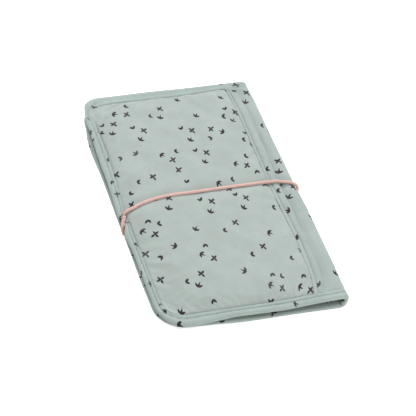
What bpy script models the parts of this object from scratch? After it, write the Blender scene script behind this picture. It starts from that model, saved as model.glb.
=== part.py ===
"""Folding travel changing pad, closed like a book and held by an elastic cord.

Frame: +Z up, the closed pad lies on its back cover.  X runs across the pad from
the open (fore) edge at -X to the folded spine at +X, Y runs along the spine.
The origin is the centre of the closed pad's underside.

From the bottom the closed stack is: back cover, inner mat panel, outer mat
panel, pocket, front cover.  Lengths are written in millimetres and scaled once.
Layer heights are those at the spine; settle() then thins everything above the
back cover towards the fore edge, where the closed pad is pressed together.
"""

import math

import bmesh
import bpy
from mathutils import Matrix

MM = 0.001


# ---------------------------------------------------------------- spans
# A span is a (low, high) pair of coordinates along one axis.
def layer_above(below, thickness):
    """Height span of a layer resting, with clearance, on the one below."""
    bottom = below[1] + CLEAR
    return (bottom, bottom + thickness)


def inset(span, low, high=None):
    """A span brought in at its ends; negative amounts let it grow."""
    return (span[0] + low, span[1] - (low if high is None else high))


def mirrored(half):
    return (-half, half)


def end_span(side, start, end):
    """The span from start to end, on the +Y (side 1) or -Y (side -1) half."""
    return sorted((side * start, side * end))


def middle(span):
    return sum(span) / 2


# ---------------------------------------------------------------- dimensions
WIDTH = 162.0            # fore edge to spine, closed
LENGTH = 270.0           # along the spine
X_FORE, X_SPINE = mirrored(WIDTH / 2)
Y_HALF = LENGTH / 2
CORNER_LOW_R = 18.0      # rounded corner at the fore edge, -Y end
CORNER_HIGH_R = 12.0     # rounded corner at the fore edge, +Y end
CORNER_MIN_R = 4.0       # tightest corner of an inset outline
CORNER_STEPS = 6
CLEAR = 0.3              # play between neighbouring layers

OUTER_T = 0.7            # printed outer fabric
LINING_T = 0.5           # wipe-clean lining
BACK_FOAM_T = 3.8
FRONT_FOAM_T = 2.6
MAT_T = 2.4              # one fold-out mat panel
POCKET_T = 0.5

LIP = 7.0                # how far the binding tape laps over each face
DITCH = 0.9              # gap beside the tape that the stitching sits in
WALL = 0.7               # thickness of the tape round the edge
FOAM_IN = WALL + CLEAR
THREAD_R = 0.25
THREAD_IN = LIP + DITCH / 2
SHEET_IN = LIP + DITCH   # the faces of each cover start this far in
SHEET_Y = mirrored(Y_HALF - SHEET_IN)

# layers, bottom to top
BACK_OUT = (0.0, OUTER_T)
BACK_FOAM = layer_above(BACK_OUT, BACK_FOAM_T)
BACK_LIN = layer_above(BACK_FOAM, LINING_T)
MAT_A = layer_above(BACK_LIN, MAT_T)
MAT_B = layer_above(MAT_A, MAT_T)
POCKET = layer_above(MAT_B, POCKET_T)
FRONT_LIN = layer_above(POCKET, LINING_T)
FRONT_FOAM = layer_above(FRONT_LIN, FRONT_FOAM_T)
FRONT_OUT = layer_above(FRONT_FOAM, OUTER_T)
HEIGHT = FRONT_OUT[1]
FORE_SHARE = 0.5         # thickness left above the back cover at the fore edge

# the soft spine turns on two fold lines, one on each cover
FOLD_IN = 2.5
FOLD_X = X_SPINE - FOLD_IN
FOLD_GAP = 0.8           # from a fold line to the spine's edge, in height
COVER_END = FOLD_X - FOLD_IN - CLEAR
SHEET_END = FOLD_X - CLEAR
SPINE_X = (FOLD_X - FOLD_IN, X_SPINE)
SPINE_Z = inset((0.0, HEIGHT), FOLD_IN + FOLD_GAP)

# cord: radius and the two places its holes and its channel are set by
CORD_R = 1.3
CORD_LIFT = CORD_R + CLEAR   # from a surface to the centre of the cord on it
CORD_LOW = 1.45              # height of the run under the back cover
CORD_Y_SPINE = -7.0
CORD_Y_FORE = -28.0
CORD_RUN = 160.0             # X distance over which the low run goes askew
ANCHOR = (-76.9, -8.5)       # X, Y midway between the cord's two ends
ANCHOR_HALF = 1.6            # from there to each end, along Y
BARTACK_T = 0.6

# how far cutters run past what they cut
PAST_FACE = 1.0
PAST_END = 2.0
PAST_TAPE = 5.0


# ---------------------------------------------------------------- scene
for old in list(bpy.data.objects):
    bpy.data.objects.remove(old, do_unlink=True)


def collection(name):
    made = bpy.data.collections.new(name)
    bpy.context.scene.collection.children.link(made)
    return made


PAD = collection("changing_pad")
TOOLS = collection("cutters")


def material(name, colour, roughness):
    made = bpy.data.materials.new(name)
    made.use_nodes = True
    shader = made.node_tree.nodes["Principled BSDF"]
    shader.inputs["Base Color"].default_value = (*colour, 1.0)
    shader.inputs["Roughness"].default_value = roughness
    return made


PRINT = material("printed_outer_fabric", colour=(0.47, 0.565, 0.525), roughness=0.72)
TAPE = material("binding_tape", colour=(0.46, 0.56, 0.52), roughness=0.7)
LINING = material("wipe_clean_lining", colour=(0.55, 0.63, 0.59), roughness=0.5)
MAT_FABRIC = material("mat_fabric", colour=(0.60, 0.66, 0.62), roughness=0.5)
FOAM = material("foam", colour=(0.85, 0.84, 0.78), roughness=0.95)
THREAD = material("thread", colour=(0.40, 0.50, 0.46), roughness=0.8)
CORD = material("elastic_cord", colour=(0.80, 0.50, 0.42), roughness=0.75)
POCKET_CLOTH = material("pocket_fabric", colour=(0.50, 0.59, 0.55), roughness=0.7)


# ---------------------------------------------------------------- outlines
def settle(x, z):
    """Height of a point in the closed pad, given its height at the spine."""
    base = BACK_LIN[1]
    if z <= base:
        return z
    share = (FOLD_X - x) / (FOLD_X - X_FORE)
    return base + (z - base) * (1.0 - (1.0 - FORE_SHARE) * share)


def arc(centre, radius, start, end, steps):
    """Points of an arc, angles in degrees."""
    angles = [math.radians(start + (end - start) * i / steps) for i in range(steps + 1)]
    return [
        (centre[0] + radius * math.cos(a), centre[1] + radius * math.sin(a)) for a in angles
    ]


def rounded(x, y, low_r, high_r):
    """Outline of a panel, square at high X; at low X rounded by low_r at -Y, high_r at +Y."""
    return [
        (x[1], y[0]),
        (x[1], y[1]),
        *arc((x[0] + high_r, y[1] - high_r), high_r, 90, 180, CORNER_STEPS),
        *arc((x[0] + low_r, y[0] + low_r), low_r, 180, 270, CORNER_STEPS),
    ]


def corner_radii(distance):
    """Radii of the -Y and +Y corners of a cover outline brought in by a distance."""
    return [max(r - distance, CORNER_MIN_R) for r in (CORNER_LOW_R, CORNER_HIGH_R)]


def cover_outline(distance, x_end):
    """A cover's outline, brought in on its three bound edges."""
    return rounded(
        (X_FORE + distance, x_end), mirrored(Y_HALF - distance), *corner_radii(distance)
    )


# ---------------------------------------------------------------- solids
def add_object(name, data, surface, group):
    data.materials.append(surface)
    obj = bpy.data.objects.new(name, data)
    group.objects.link(obj)
    if group is TOOLS:
        obj.hide_render = True
        obj.display_type = "WIRE"
    return obj


def set_heights(vertices, z):
    """Move vertices above and below zero to the settled heights of a span."""
    for vertex in vertices:
        height = z[1] if vertex.co.z > 0.0 else z[0]
        vertex.co.z = settle(vertex.co.x / MM, height) * MM


def poly_spline(curve, points):
    spline = curve.splines.new("POLY")
    spline.points.add(len(points) - 1)
    for point, (x, y, z) in zip(spline.points, points):
        point.co = (x * MM, y * MM, z * MM, 1.0)
    return spline


def plate(name, outline, z, surface=PRINT, group=PAD):
    """A flat panel between two heights, from a filled 2D curve."""
    curve = bpy.data.curves.new(name + "_outline", "CURVE")
    curve.dimensions = "2D"
    curve.fill_mode = "BOTH"
    curve.extrude = (z[1] - z[0]) / 2 * MM
    poly_spline(curve, [(x, y, 0.0) for x, y in outline]).use_cyclic_u = True
    flat = bpy.data.objects.new(name + "_curve", curve)
    bpy.context.scene.collection.objects.link(flat)
    bpy.context.view_layer.update()
    depsgraph = bpy.context.evaluated_depsgraph_get()
    mesh = bpy.data.meshes.new_from_object(flat.evaluated_get(depsgraph))
    bpy.data.objects.remove(flat)
    mesh.name = name

    # the curve's faces and rim come apart; weld them into one solid
    work = bmesh.new()
    work.from_mesh(mesh)
    bmesh.ops.remove_doubles(work, verts=work.verts, dist=1e-6)
    bmesh.ops.recalc_face_normals(work, faces=work.faces)
    work.to_mesh(mesh)
    work.free()
    set_heights(mesh.vertices, z)
    return add_object(name, mesh, surface, group)


def block(name, x, y, z, surface=PRINT, group=PAD, turn=0.0):
    """A box over three spans, turned about its own centre in plan."""
    mesh = bpy.data.meshes.new(name)
    work = bmesh.new()
    bmesh.ops.create_cube(work, size=1.0)
    size = [(span[1] - span[0]) * MM for span in (x, y, z)]
    bmesh.ops.scale(work, vec=size, verts=work.verts)
    bmesh.ops.rotate(work, cent=(0, 0, 0), matrix=Matrix.Rotation(turn, 3, "Z"), verts=work.verts)
    bmesh.ops.translate(work, vec=(middle(x) * MM, middle(y) * MM, 0.0), verts=work.verts)
    set_heights(work.verts, z)
    work.to_mesh(mesh)
    work.free()
    return add_object(name, mesh, surface, group)


def tube(name, points, radius, surface, resolution=1):
    """Thread, welt or cord: a round section along a line of points."""
    curve = bpy.data.curves.new(name, "CURVE")
    curve.dimensions = "3D"
    curve.bevel_depth = radius * MM
    curve.bevel_resolution = resolution
    curve.use_fill_caps = True
    curve.twist_mode = "MINIMUM"
    poly_spline(curve, points)
    return add_object(name, curve, surface, PAD)


def combine(obj, other, how="DIFFERENCE"):
    step = obj.modifiers.new(how.lower(), "BOOLEAN")
    step.operation = how
    step.solver = "EXACT"
    step.object = other


# ---------------------------------------------------------------- cover edges
STITCH_END_IN = 0.6      # the stitching stops this short of the cover's end
STITCH_STEPS = 5


def edge_tape(name, z, low_lip, high_lip):
    """Binding tape: a C section folded round a cover's three free edges."""
    tape = plate(name, cover_outline(0.0, COVER_END), z, TAPE)
    past = COVER_END + PAST_TAPE
    hollow_z = inset(z, low_lip, high_lip)
    combine(tape, plate(name + "_hollow", cover_outline(WALL, past), hollow_z, group=TOOLS))
    window_z = inset(z, -PAST_FACE)
    combine(tape, plate(name + "_window", cover_outline(LIP, past), window_z, group=TOOLS))
    return tape


def edge_stitching(name, z, hop=()):
    """Thread just inside the tape, round the three bound edges.

    hop holds (y, z) points the thread passes through on the fore edge.
    """
    low_r, high_r = corner_radii(THREAD_IN)
    x_start, x_end = X_FORE + THREAD_IN, COVER_END - STITCH_END_IN
    y_end = Y_HALF - THREAD_IN
    high_corner = arc((x_start + high_r, y_end - high_r), high_r, 90, 180, STITCH_STEPS)
    low_corner = arc((x_start + low_r, -y_end + low_r), low_r, 180, 270, STITCH_STEPS)
    points = [(x_end, y_end, z)]
    points += [(x, y, z) for x, y in high_corner]
    points += [(x_start, y, height) for y, height in hop]
    points += [(x, y, z) for x, y in low_corner]
    points.append((x_end, -y_end, z))
    tube(name, [(x, y, settle(x, height)) for x, y, height in points], THREAD_R, THREAD)


# ---------------------------------------------------------------- cord channel
# The elastic beds into the soft back cover, so the cover carries a shallow
# channel for it, slightly askew from fore edge to spine.
SKEW = math.atan2(CORD_Y_SPINE - CORD_Y_FORE, CORD_RUN)
CHANNEL_HALF = 95.0      # reach of the channel either side of the middle, in X
CHANNEL_T = 0.6          # fabric round the groove
CHANNEL_BOUND_TOP = 8.0
GROOVE_W = 2 * CORD_LIFT
GROOVE_TOP = CORD_LOW + CORD_LIFT


def cord_y(x):
    """Y of the cord's lower run at a given X."""
    return CORD_Y_FORE + (x + CORD_RUN / 2) * math.tan(SKEW)


def channel(name, margin, bottom):
    """A bar along the cord's lower run, wider and higher than the groove by a margin."""
    y = cord_y(0.0)
    half_width = GROOVE_W / 2 + margin
    return block(
        name,
        mirrored(CHANNEL_HALF / math.cos(SKEW)),
        (y - half_width, y + half_width),
        (bottom, GROOVE_TOP + margin),
        group=TOOLS,
        turn=SKEW,
    )


# ---------------------------------------------------------------- back cover
HOP_SIDE = 0.6           # the thread hops over the groove this far beside the cord
HOP_RISE = 0.3           # and this far above the groove


def build_back_cover():
    groove = channel("groove", 0.0, -PAST_END)
    channel_wall = channel("channel_wall", CHANNEL_T, 0.0)
    channel_bound = plate(
        "channel_bound",
        cover_outline(SHEET_IN, COVER_END),
        (-PAST_FACE, CHANNEL_BOUND_TOP),
        group=TOOLS,
    )
    combine(channel_wall, channel_bound, "INTERSECT")

    outer = plate("back_outer_fabric", cover_outline(SHEET_IN, SHEET_END), BACK_OUT)
    combine(outer, channel_wall, "UNION")
    combine(outer, groove)

    foam = plate("back_foam", cover_outline(FOAM_IN, COVER_END - CLEAR), BACK_FOAM, FOAM)
    combine(foam, channel("foam_groove", CHANNEL_T + CLEAR, -PAST_END))

    plate("back_lining", cover_outline(SHEET_IN, COVER_END), BACK_LIN, LINING)
    tape = edge_tape("back_binding", (BACK_OUT[0], BACK_LIN[1]), OUTER_T, LINING_T)
    combine(tape, groove)

    z = middle(BACK_OUT)
    top = GROOVE_TOP + HOP_RISE
    hop_y = cord_y(X_FORE + THREAD_IN)
    near, far = hop_y + CORD_R + HOP_SIDE, hop_y - CORD_R - HOP_SIDE
    hop = [(near, z), (near, top), (far, top), (far, z)]
    edge_stitching("back_outer_stitching", z, hop)
    edge_stitching("back_lining_stitching", middle(BACK_LIN))


# ---------------------------------------------------------------- spine
SPINE_RETURN = 2.4       # how far the outer fabric turns in over the spine's edges
SPINE_CUT_DEPTH = 5.0
SPINE_FOAM_IN = 2.0      # foam stops this far from each end


def build_spine():
    outer = block(
        "spine_outer_fabric", (X_SPINE - SPINE_RETURN, X_SPINE), SHEET_Y, SPINE_Z, PRINT
    )
    inside = block(
        "spine_inside",
        (X_SPINE - SPINE_CUT_DEPTH, X_SPINE - OUTER_T),
        mirrored(Y_HALF),
        inset(SPINE_Z, OUTER_T),
        group=TOOLS,
    )
    combine(outer, inside)
    block(
        "spine_foam",
        inset(SPINE_X, LINING_T + CLEAR, OUTER_T + CLEAR),
        mirrored(Y_HALF - SPINE_FOAM_IN),
        inset(SPINE_Z, OUTER_T + CLEAR),
        FOAM,
    )
    block("spine_lining", (SPINE_X[0], SPINE_X[0] + LINING_T), SHEET_Y, SPINE_Z, LINING)
    for side, name in ((1, "spine_binding_top"), (-1, "spine_binding_bottom")):
        cap = block(name, SPINE_X, end_span(side, Y_HALF - LIP, Y_HALF), SPINE_Z, TAPE)
        hollow = block(
            name + "_hollow",
            inset(SPINE_X, LINING_T, OUTER_T),
            end_span(side, Y_HALF - LIP - PAST_END, Y_HALF - WALL),
            inset(SPINE_Z, -PAST_FACE),
            group=TOOLS,
        )
        combine(cap, hollow)


# ---------------------------------------------------------------- front cover
# a band joins the printed main panel to the spine strip, with a stitched seam
# along each side of it
SEAM_BAND_W = 3.6
SEAM_PANEL_X = 58.0
SEAM_STRIP_X = SEAM_PANEL_X + DITCH + SEAM_BAND_W
SEAM_END_IN = 0.4        # seam thread stops this short of the fabric's ends

CORD_HOLE_R = 1.7
CORD_HOLE_BELOW = 0.15   # depth of the hole below the foam's underside


def build_front_fabric():
    plate("front_main_fabric", cover_outline(SHEET_IN, SEAM_PANEL_X - DITCH / 2), FRONT_OUT)
    band_x = inset((SEAM_PANEL_X, SEAM_STRIP_X), DITCH / 2)
    block("front_seam_band", band_x, SHEET_Y, FRONT_OUT, TAPE)
    block("front_spine_strip", (SEAM_STRIP_X + DITCH / 2, SHEET_END), SHEET_Y, FRONT_OUT)
    for name, x in (
        ("seam_stitching_panel", SEAM_PANEL_X),
        ("seam_stitching_strip", SEAM_STRIP_X),
    ):
        z = settle(x, middle(FRONT_OUT))
        tube(name, [(x, y, z) for y in inset(SHEET_Y, SEAM_END_IN)], THREAD_R, THREAD)


def build_front_cover():
    build_front_fabric()
    x, y = ANCHOR
    cord_hole = plate(
        "cord_hole",
        arc((x, y + ANCHOR_HALF), CORD_HOLE_R, 15, 165, 5)
        + arc((x, y - ANCHOR_HALF), CORD_HOLE_R, 195, 345, 5),
        (FRONT_FOAM[0] - CORD_HOLE_BELOW, HEIGHT + PAST_END),
        group=TOOLS,
    )
    foam = plate("front_foam", cover_outline(FOAM_IN, COVER_END - CLEAR), FRONT_FOAM, FOAM)
    combine(foam, cord_hole)
    plate("front_lining", cover_outline(SHEET_IN, COVER_END), FRONT_LIN, LINING)
    combine(edge_tape("front_binding", (FRONT_LIN[0], HEIGHT), LINING_T, OUTER_T), cord_hole)
    edge_stitching("front_outer_stitching", middle(FRONT_OUT))
    edge_stitching("front_lining_stitching", middle(FRONT_LIN))


# ---------------------------------------------------------------- pocket
POCKET_X = (-64.0, 70.0)
POCKET_Y = (-119.0, 72.0)
HEM_W = 8.0


def build_pocket():
    """Pocket on the inside of the front cover, with its hem at the +Y edge."""
    block("pocket_panel", POCKET_X, POCKET_Y, POCKET, POCKET_CLOTH)
    block("pocket_hem", POCKET_X, layer_above(POCKET_Y, HEM_W), POCKET, TAPE)


# ---------------------------------------------------------------- elastic cord
BARTACK_HALF = (1.0, 2.6)    # X, Y
CORD_TURN_R = 1.8            # bend where the cord leaves or enters its hole
CORD_TURN_DROP = 0.1         # centre of that bend below the cover's face
CORD_TURN_SLOPE = 0.05       # Y per X of the leaving bend
CORD_TOP_STEPS = 12
CORD_EASE_LEN = 70.0         # X distance in which the top run reaches its spine Y
CORD_LOW_TURN_R = CORD_LIFT + 0.1
CORD_LOW_TURN_UP = 0.1       # centre of the low bend above the spine's lower edge
CORD_ENTRY_IN = 2.4          # the low run starts this far in from the spine
CORD_LOW_XS = (40.0, 0.0, -40.0)

# climbing the fore edge, then over its rim; Y offsets are from CORD_Y_FORE
RISE_Y, RISE_BELOW = 2.0, 2.0
RIM_Y, RIM_Y_STEP = 2.6, 0.1
OVER_X, OVER_Y = 1.6, 4.6

# plan of the entering bend: its start, from the hole's -Y end, and its heading
ENTRY_START = (-1.34, -1.22)
ENTRY_HEADING = (0.736, 0.677)


def cord_over_front(end_z, turn_z):
    """Out of the hole's +Y end and across the front cover to the fold."""
    anchor_x, y_start = ANCHOR[0], ANCHOR[1] + ANCHOR_HALF
    path = [(anchor_x, y_start, end_z), (anchor_x, y_start, turn_z)]
    path += [
        (x, y_start + CORD_TURN_SLOPE * (x - anchor_x), z)
        for x, z in arc((anchor_x + CORD_TURN_R, turn_z), CORD_TURN_R, 180, 90, 4)[1:]
    ]
    x_top, y_top, _ = path[-1]
    for i in range(1, CORD_TOP_STEPS + 1):
        x = x_top + (FOLD_X - x_top) * i / CORD_TOP_STEPS
        ease = min(1.0, (x - x_top) / CORD_EASE_LEN)
        y = y_top + (CORD_Y_SPINE - y_top) * ease * ease * (3 - 2 * ease)
        path.append((x, y, settle(x, HEIGHT) + CORD_LIFT))
    return path


def cord_round_spine():
    """Down the outside of the spine and in towards the channel."""
    side_x = X_SPINE + CORD_LIFT
    bend_r = side_x - FOLD_X
    turns = arc((FOLD_X, HEIGHT + CORD_LIFT - bend_r), bend_r, 90, 0, 6)[1:]
    low_centre = (side_x - CORD_LOW_TURN_R, SPINE_Z[0] + CORD_LOW_TURN_UP)
    turns += arc(low_centre, CORD_LOW_TURN_R, 0, -90, 5)
    return [(x, CORD_Y_SPINE, z) for x, z in turns]


def cord_under_back():
    """Along the channel and round the back cover's fore edge."""
    path = [(x, cord_y(x), CORD_LOW) for x in (X_SPINE - CORD_ENTRY_IN, *CORD_LOW_XS)]
    turn = arc((X_FORE, CORD_LOW + CORD_LIFT), CORD_LIFT, 270, 180, 5)
    return path + [(x, cord_y(X_FORE), z) for x, z in turn]


def cord_up_fore(end_z, turn_z):
    """Up the fore edge, over the rim and into the hole's -Y end."""
    fore_z = settle(X_FORE, HEIGHT)
    over_x = X_FORE + OVER_X
    y_end = ANCHOR[1] - ANCHOR_HALF
    path = [(X_FORE - CORD_LIFT, CORD_Y_FORE + RISE_Y, fore_z - RISE_BELOW)]
    path += [
        (x, CORD_Y_FORE + RIM_Y + RIM_Y_STEP * i, z)
        for i, (x, z) in enumerate(arc((X_FORE, fore_z), CORD_LIFT, 180, 90, 4))
    ]
    path.append((over_x, CORD_Y_FORE + OVER_Y, settle(over_x, HEIGHT) + CORD_LIFT))
    path += [
        (
            ANCHOR[0] + ENTRY_START[0] + ENTRY_HEADING[0] * along,
            y_end + ENTRY_START[1] + ENTRY_HEADING[1] * along,
            z,
        )
        for along, z in arc((0.0, turn_z), CORD_TURN_R, 90, 0, 4)
    ]
    path.append((ANCHOR[0], y_end, end_z))
    return path


def build_cord():
    bartack_z = (FRONT_FOAM[0], FRONT_FOAM[0] + BARTACK_T)
    bartack_x, bartack_y = [(at - half, at + half) for at, half in zip(ANCHOR, BARTACK_HALF)]
    block("elastic_bartack", bartack_x, bartack_y, bartack_z, THREAD)

    end_z = settle(ANCHOR[0], bartack_z[1]) + CLEAR
    turn_z = settle(ANCHOR[0], HEIGHT) - CORD_TURN_DROP
    path = cord_over_front(end_z, turn_z) + cord_round_spine()
    path += cord_under_back() + cord_up_fore(end_z, turn_z)
    tube("elastic_cord", path, CORD_R, CORD, resolution=2)


# ---------------------------------------------------------------- fold-out mat
# two half-width panels, folded as a Z on the back cover
MAT_FORE_X = -71.5       # welt near the fore edge
MAT_MID_X = -1.3         # welt near the middle of the pad
MAT_HALF_Y = 121.0
MAT_END_GAP = 1.1        # from a welt's axis to the panels
MAT_X = inset((MAT_FORE_X, MAT_MID_X), MAT_END_GAP)
MAT_SKIN_T = 0.45
MAT_FOAM_PLAY = 0.25
MAT_LIP = 5.0
MAT_CORNER_R = 8.0
WELT_R = 0.55
WELT_END_IN = 1.0


def mat_panel(prefix, z, x):
    """A fabric sleeve with a foam slab inside; the sleeve's ends are open until
    the edge tape closes them."""
    y = mirrored(MAT_HALF_Y - MAT_LIP - CLEAR)
    sleeve = block(prefix + "_cover", x, y, z, MAT_FABRIC)
    inside = block(
        prefix + "_inside",
        inset(x, MAT_SKIN_T),
        inset(y, -PAST_END),
        inset(z, MAT_SKIN_T),
        group=TOOLS,
    )
    combine(sleeve, inside)
    foam_in = MAT_SKIN_T + MAT_FOAM_PLAY
    block(prefix + "_foam", inset(x, foam_in), y, inset(z, foam_in), FOAM)


def mat_end_tape(name, side, z):
    """Edge tape over one short end of a mat panel, a U section."""
    lip_y = MAT_HALF_Y - MAT_LIP
    cap = block(name, MAT_X, end_span(side, lip_y, MAT_HALF_Y), z, TAPE)
    hollow = block(
        name + "_hollow",
        inset(MAT_X, -PAST_END),
        end_span(side, lip_y - PAST_END, MAT_HALF_Y - MAT_SKIN_T),
        inset(z, MAT_SKIN_T),
        group=TOOLS,
    )
    combine(cap, hollow)


def mat_outer_tape():
    """Edge tape round both short ends and the long fore edge of the outer panel."""
    name = "mat_outer_binding"
    y = mirrored(MAT_HALF_Y)
    tape = plate(name, rounded(MAT_X, y, MAT_CORNER_R, MAT_CORNER_R), MAT_B, TAPE)
    inner_r = MAT_CORNER_R - MAT_SKIN_T
    hollow = plate(
        name + "_hollow",
        rounded(inset(MAT_X, MAT_SKIN_T, -PAST_END), inset(y, MAT_SKIN_T), inner_r, inner_r),
        inset(MAT_B, MAT_SKIN_T),
        group=TOOLS,
    )
    window = block(
        name + "_window",
        inset(MAT_X, MAT_LIP, -PAST_END),
        inset(y, MAT_LIP),
        inset(MAT_B, -PAST_FACE),
        group=TOOLS,
    )
    combine(tape, hollow)
    combine(tape, window)


def mat_welt(name, x, height):
    """A thin sewn welt lying on a fold's axis."""
    z = settle(x, height)
    points = [(x, y, z) for y in mirrored(MAT_HALF_Y - WELT_END_IN)]
    tube(name, points, WELT_R, TAPE)


def build_mat():
    mat_panel("mat_inner", MAT_A, MAT_X)
    mat_end_tape("mat_inner_binding_top", 1, MAT_A)
    mat_end_tape("mat_inner_binding_bottom", -1, MAT_A)

    # the outer panel's long free edge is bound too, so its sleeve starts further in
    mat_panel("mat_outer", MAT_B, inset(MAT_X, MAT_LIP + CLEAR, 0.0))
    mat_outer_tape()

    mat_welt("mat_fold_welt_inner", MAT_FORE_X, middle(MAT_A))
    mat_welt("mat_fold_welt_outer", MAT_MID_X, middle((MAT_A[1], MAT_B[0])))


build_back_cover()
build_spine()
build_front_cover()
build_pocket()
build_cord()
build_mat()
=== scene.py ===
"""Folded travel changing pad: its looks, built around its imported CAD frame.

The pad lies closed with the front cover on top. +Z is up, -X is the fore edge, +X is the
folded spine, and Y runs along the spine. "Low" and "high" edges are those at -Y and +Y.
Lengths are in millimetres in the CAD frame and are scaled when a mesh is made.
"""

import functools
import math
from collections import namedtuple

import bmesh
import bpy
import numpy as np
from mathutils import Matrix, Vector


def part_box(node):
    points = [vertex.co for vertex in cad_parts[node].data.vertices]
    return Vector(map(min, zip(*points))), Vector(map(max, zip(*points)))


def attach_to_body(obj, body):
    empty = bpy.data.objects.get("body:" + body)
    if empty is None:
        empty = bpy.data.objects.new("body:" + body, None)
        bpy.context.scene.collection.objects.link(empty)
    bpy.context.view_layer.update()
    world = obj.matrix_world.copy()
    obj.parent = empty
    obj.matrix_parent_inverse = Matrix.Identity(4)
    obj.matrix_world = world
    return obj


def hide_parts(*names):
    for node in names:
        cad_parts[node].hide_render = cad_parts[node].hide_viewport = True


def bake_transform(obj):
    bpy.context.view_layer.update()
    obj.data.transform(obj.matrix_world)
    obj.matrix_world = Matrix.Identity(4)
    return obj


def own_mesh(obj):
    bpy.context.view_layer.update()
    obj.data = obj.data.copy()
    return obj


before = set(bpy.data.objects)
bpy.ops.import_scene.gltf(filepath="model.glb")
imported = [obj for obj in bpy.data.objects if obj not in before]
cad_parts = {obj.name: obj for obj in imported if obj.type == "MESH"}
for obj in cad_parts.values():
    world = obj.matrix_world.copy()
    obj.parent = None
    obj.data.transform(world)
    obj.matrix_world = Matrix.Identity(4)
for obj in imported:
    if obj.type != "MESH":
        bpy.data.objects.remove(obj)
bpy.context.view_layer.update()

MM = 0.001


def cad_box(node):
    """Low and high corners of a CAD node's box."""
    return [np.array(corner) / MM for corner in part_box(node)]


# ------------------------------------------------------------- driving sizes
_low, _high = cad_box("front_binding")
FORE_X, HALF_Y, COVER_TOP = _low[0], _high[1], _high[2]
END_X = _high[0]                       # where a cover ends at the spine
SPINE_X = cad_box("spine_outer_fabric")[1][0]
_low, _high = cad_box("front_seam_band")
BAND_X0, BAND_X1 = _low[0] + 0.5, _high[0]
EDGE_X = FORE_X + 1.4                  # the soft edge pulls in a little
EDGE_Y = HALF_Y - 0.5
BACK_EDGE_X = EDGE_X - 0.9
CORNER_LOW, CORNER_HIGH = 25.5, 22.5   # radii of the fore corners
INSET = 9.0                            # width of the binding's two ridges
SEAM_X = EDGE_X + INSET                # where the cloth meets the binding
SEAM_Y = EDGE_Y - INSET
CLOTH_HALF = SEAM_Y + 0.2              # half length of the cloths that go round the fold
PANEL_X1 = BAND_X0 - 0.30
FOLD_MID_Z = 8.25
SPINE_EDGE_Z = 13.55                   # mid-height of the front binding at the spine
BACK_SPINE_Z = 1.75                    # the same for the back binding
HOLE_X, HOLE_Y = -76.1, -11.3          # where the cord comes out
PINCH_Y = -5.5                         # where the cord pinches the fold
CORD_RADIUS = 1.42
CORD_FORE_Y, CORD_SPINE_Y = -28.0, -7.0  # ends of the cord's run under the pad
MAT_HALF_Y = 121.0
INNER_LAYER, OUTER_LAYER = (5.95, 8.15), (8.55, 10.75)  # low and high sides of the mats


# ------------------------------------------------------------- shape functions
def smooth_table(places, values, sigma=14.0):
    """A function through the table, softened by a Gaussian of width sigma."""
    grid = np.arange(-200.0, 201.0, 1.0)
    raw = np.interp(grid, places, values)
    kernel = np.exp(-0.5 * (np.arange(-45, 46) / sigma) ** 2)
    kernel /= kernel.sum()
    soft = np.convolve(np.pad(raw, 45, mode="edge"), kernel, mode="valid")
    return lambda place: np.interp(place, grid, soft)


def waves(x, y, seed, length):
    """Smooth, fixed, band-limited noise of about unit size."""
    rng = np.random.RandomState(seed)
    count = 10
    total = np.zeros(np.broadcast(x, y).shape)
    for _ in range(count):
        angle = rng.uniform(0, math.tau)
        pace = math.tau / (length * rng.uniform(0.65, 1.5))
        phase = rng.uniform(0, math.tau)
        total = total + np.sin(pace * (np.cos(angle) * x + np.sin(angle) * y) + phase)
    return total / math.sqrt(count / 2.0)


def ease(share):
    share = np.clip(share, 0.0, 1.0)
    return share * share * (3 - 2 * share)


def stack(*parts):
    """Broadcast coordinates joined along a new last axis."""
    return np.stack(np.broadcast_arrays(*parts), axis=-1)


def unit(vectors):
    return vectors / np.maximum(np.linalg.norm(vectors, axis=-1, keepdims=True), 1e-9)


def running_length(points):
    steps = np.linalg.norm(np.diff(points, axis=0), axis=1)
    return np.concatenate([[0.0], np.cumsum(steps)])


def assign(target, **values):
    for key, value in values.items():
        setattr(target, key, value)


# Each table's first row is the place along the edge, its second the value there.
fore_z = smooth_table(
    [-135, -97, -40, -8, 30, 70, 105, 135], [4.7, 6.1, 7.6, 8.2, 9.6, 10.9, 11.3, 10.7]
)


def edge_z(x, y):
    """Mid-height of the front cover's bound edge."""
    share = np.clip((x - FORE_X) / (END_X - FORE_X), 0.0, 1.02)
    fore = fore_z(y)
    return fore + (SPINE_EDGE_Z - fore) * share


# the cord's run over the front cover: x, then y
cord_fit = np.polynomial.Polynomial.fit(
    [-77.0, -70.0, -61.0, -51.0, -42.0, -24.0, -6.0, 12.0, 30.0, 49.0, 66.0, 76.0, 81.0],
    [-9.6, -7.6, -4.9, -2.5, -1.0, -0.2, 0.1, 0.2, 0.8, 1.3, -0.7, -2.9, -4.8],
    8,
)


def cord_y(x):
    return cord_fit(np.clip(x, -77.0, 81.0))


# How the soft covers leave their drawn outline: shifts towards the middle, for the outer
# edge and for the seam INSET further in.
fore_edge = smooth_table(
    [-100, -88, -54, -38, -20, 9, 32, 62, 85, 96, 107, 118],
    [0.9, 0.7, 0.1, -0.9, -1.4, -0.7, -0.2, -0.5, -0.1, 0.2, 0.6, 1.0], 6.0
)
fore_seam = smooth_table(
    [-112, -99, -78, -54, -30, -8, 12, 44, 72, 94, 107, 114, 120],
    [-1.4, -2.4, -3.0, -3.0, -4.0, -4.4, -2.2, -1.3, -0.9, -1.4, -1.6, -3.2, -4.4], 4.0
)
low_edge = smooth_table(
    [-60, -43, -29, -15, -5, 11, 36, 54, 67, 80],
    [0.6, 1.0, 1.5, 2.0, 1.0, 0.1, -1.2, -1.4, -0.9, -0.7], 4.0
)
low_seam = smooth_table(
    [-61, -53, -36, -3, 13, 39, 65], [3.0, 2.4, 1.7, -0.1, -0.5, -0.9, -0.8], 5.0
)
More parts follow.
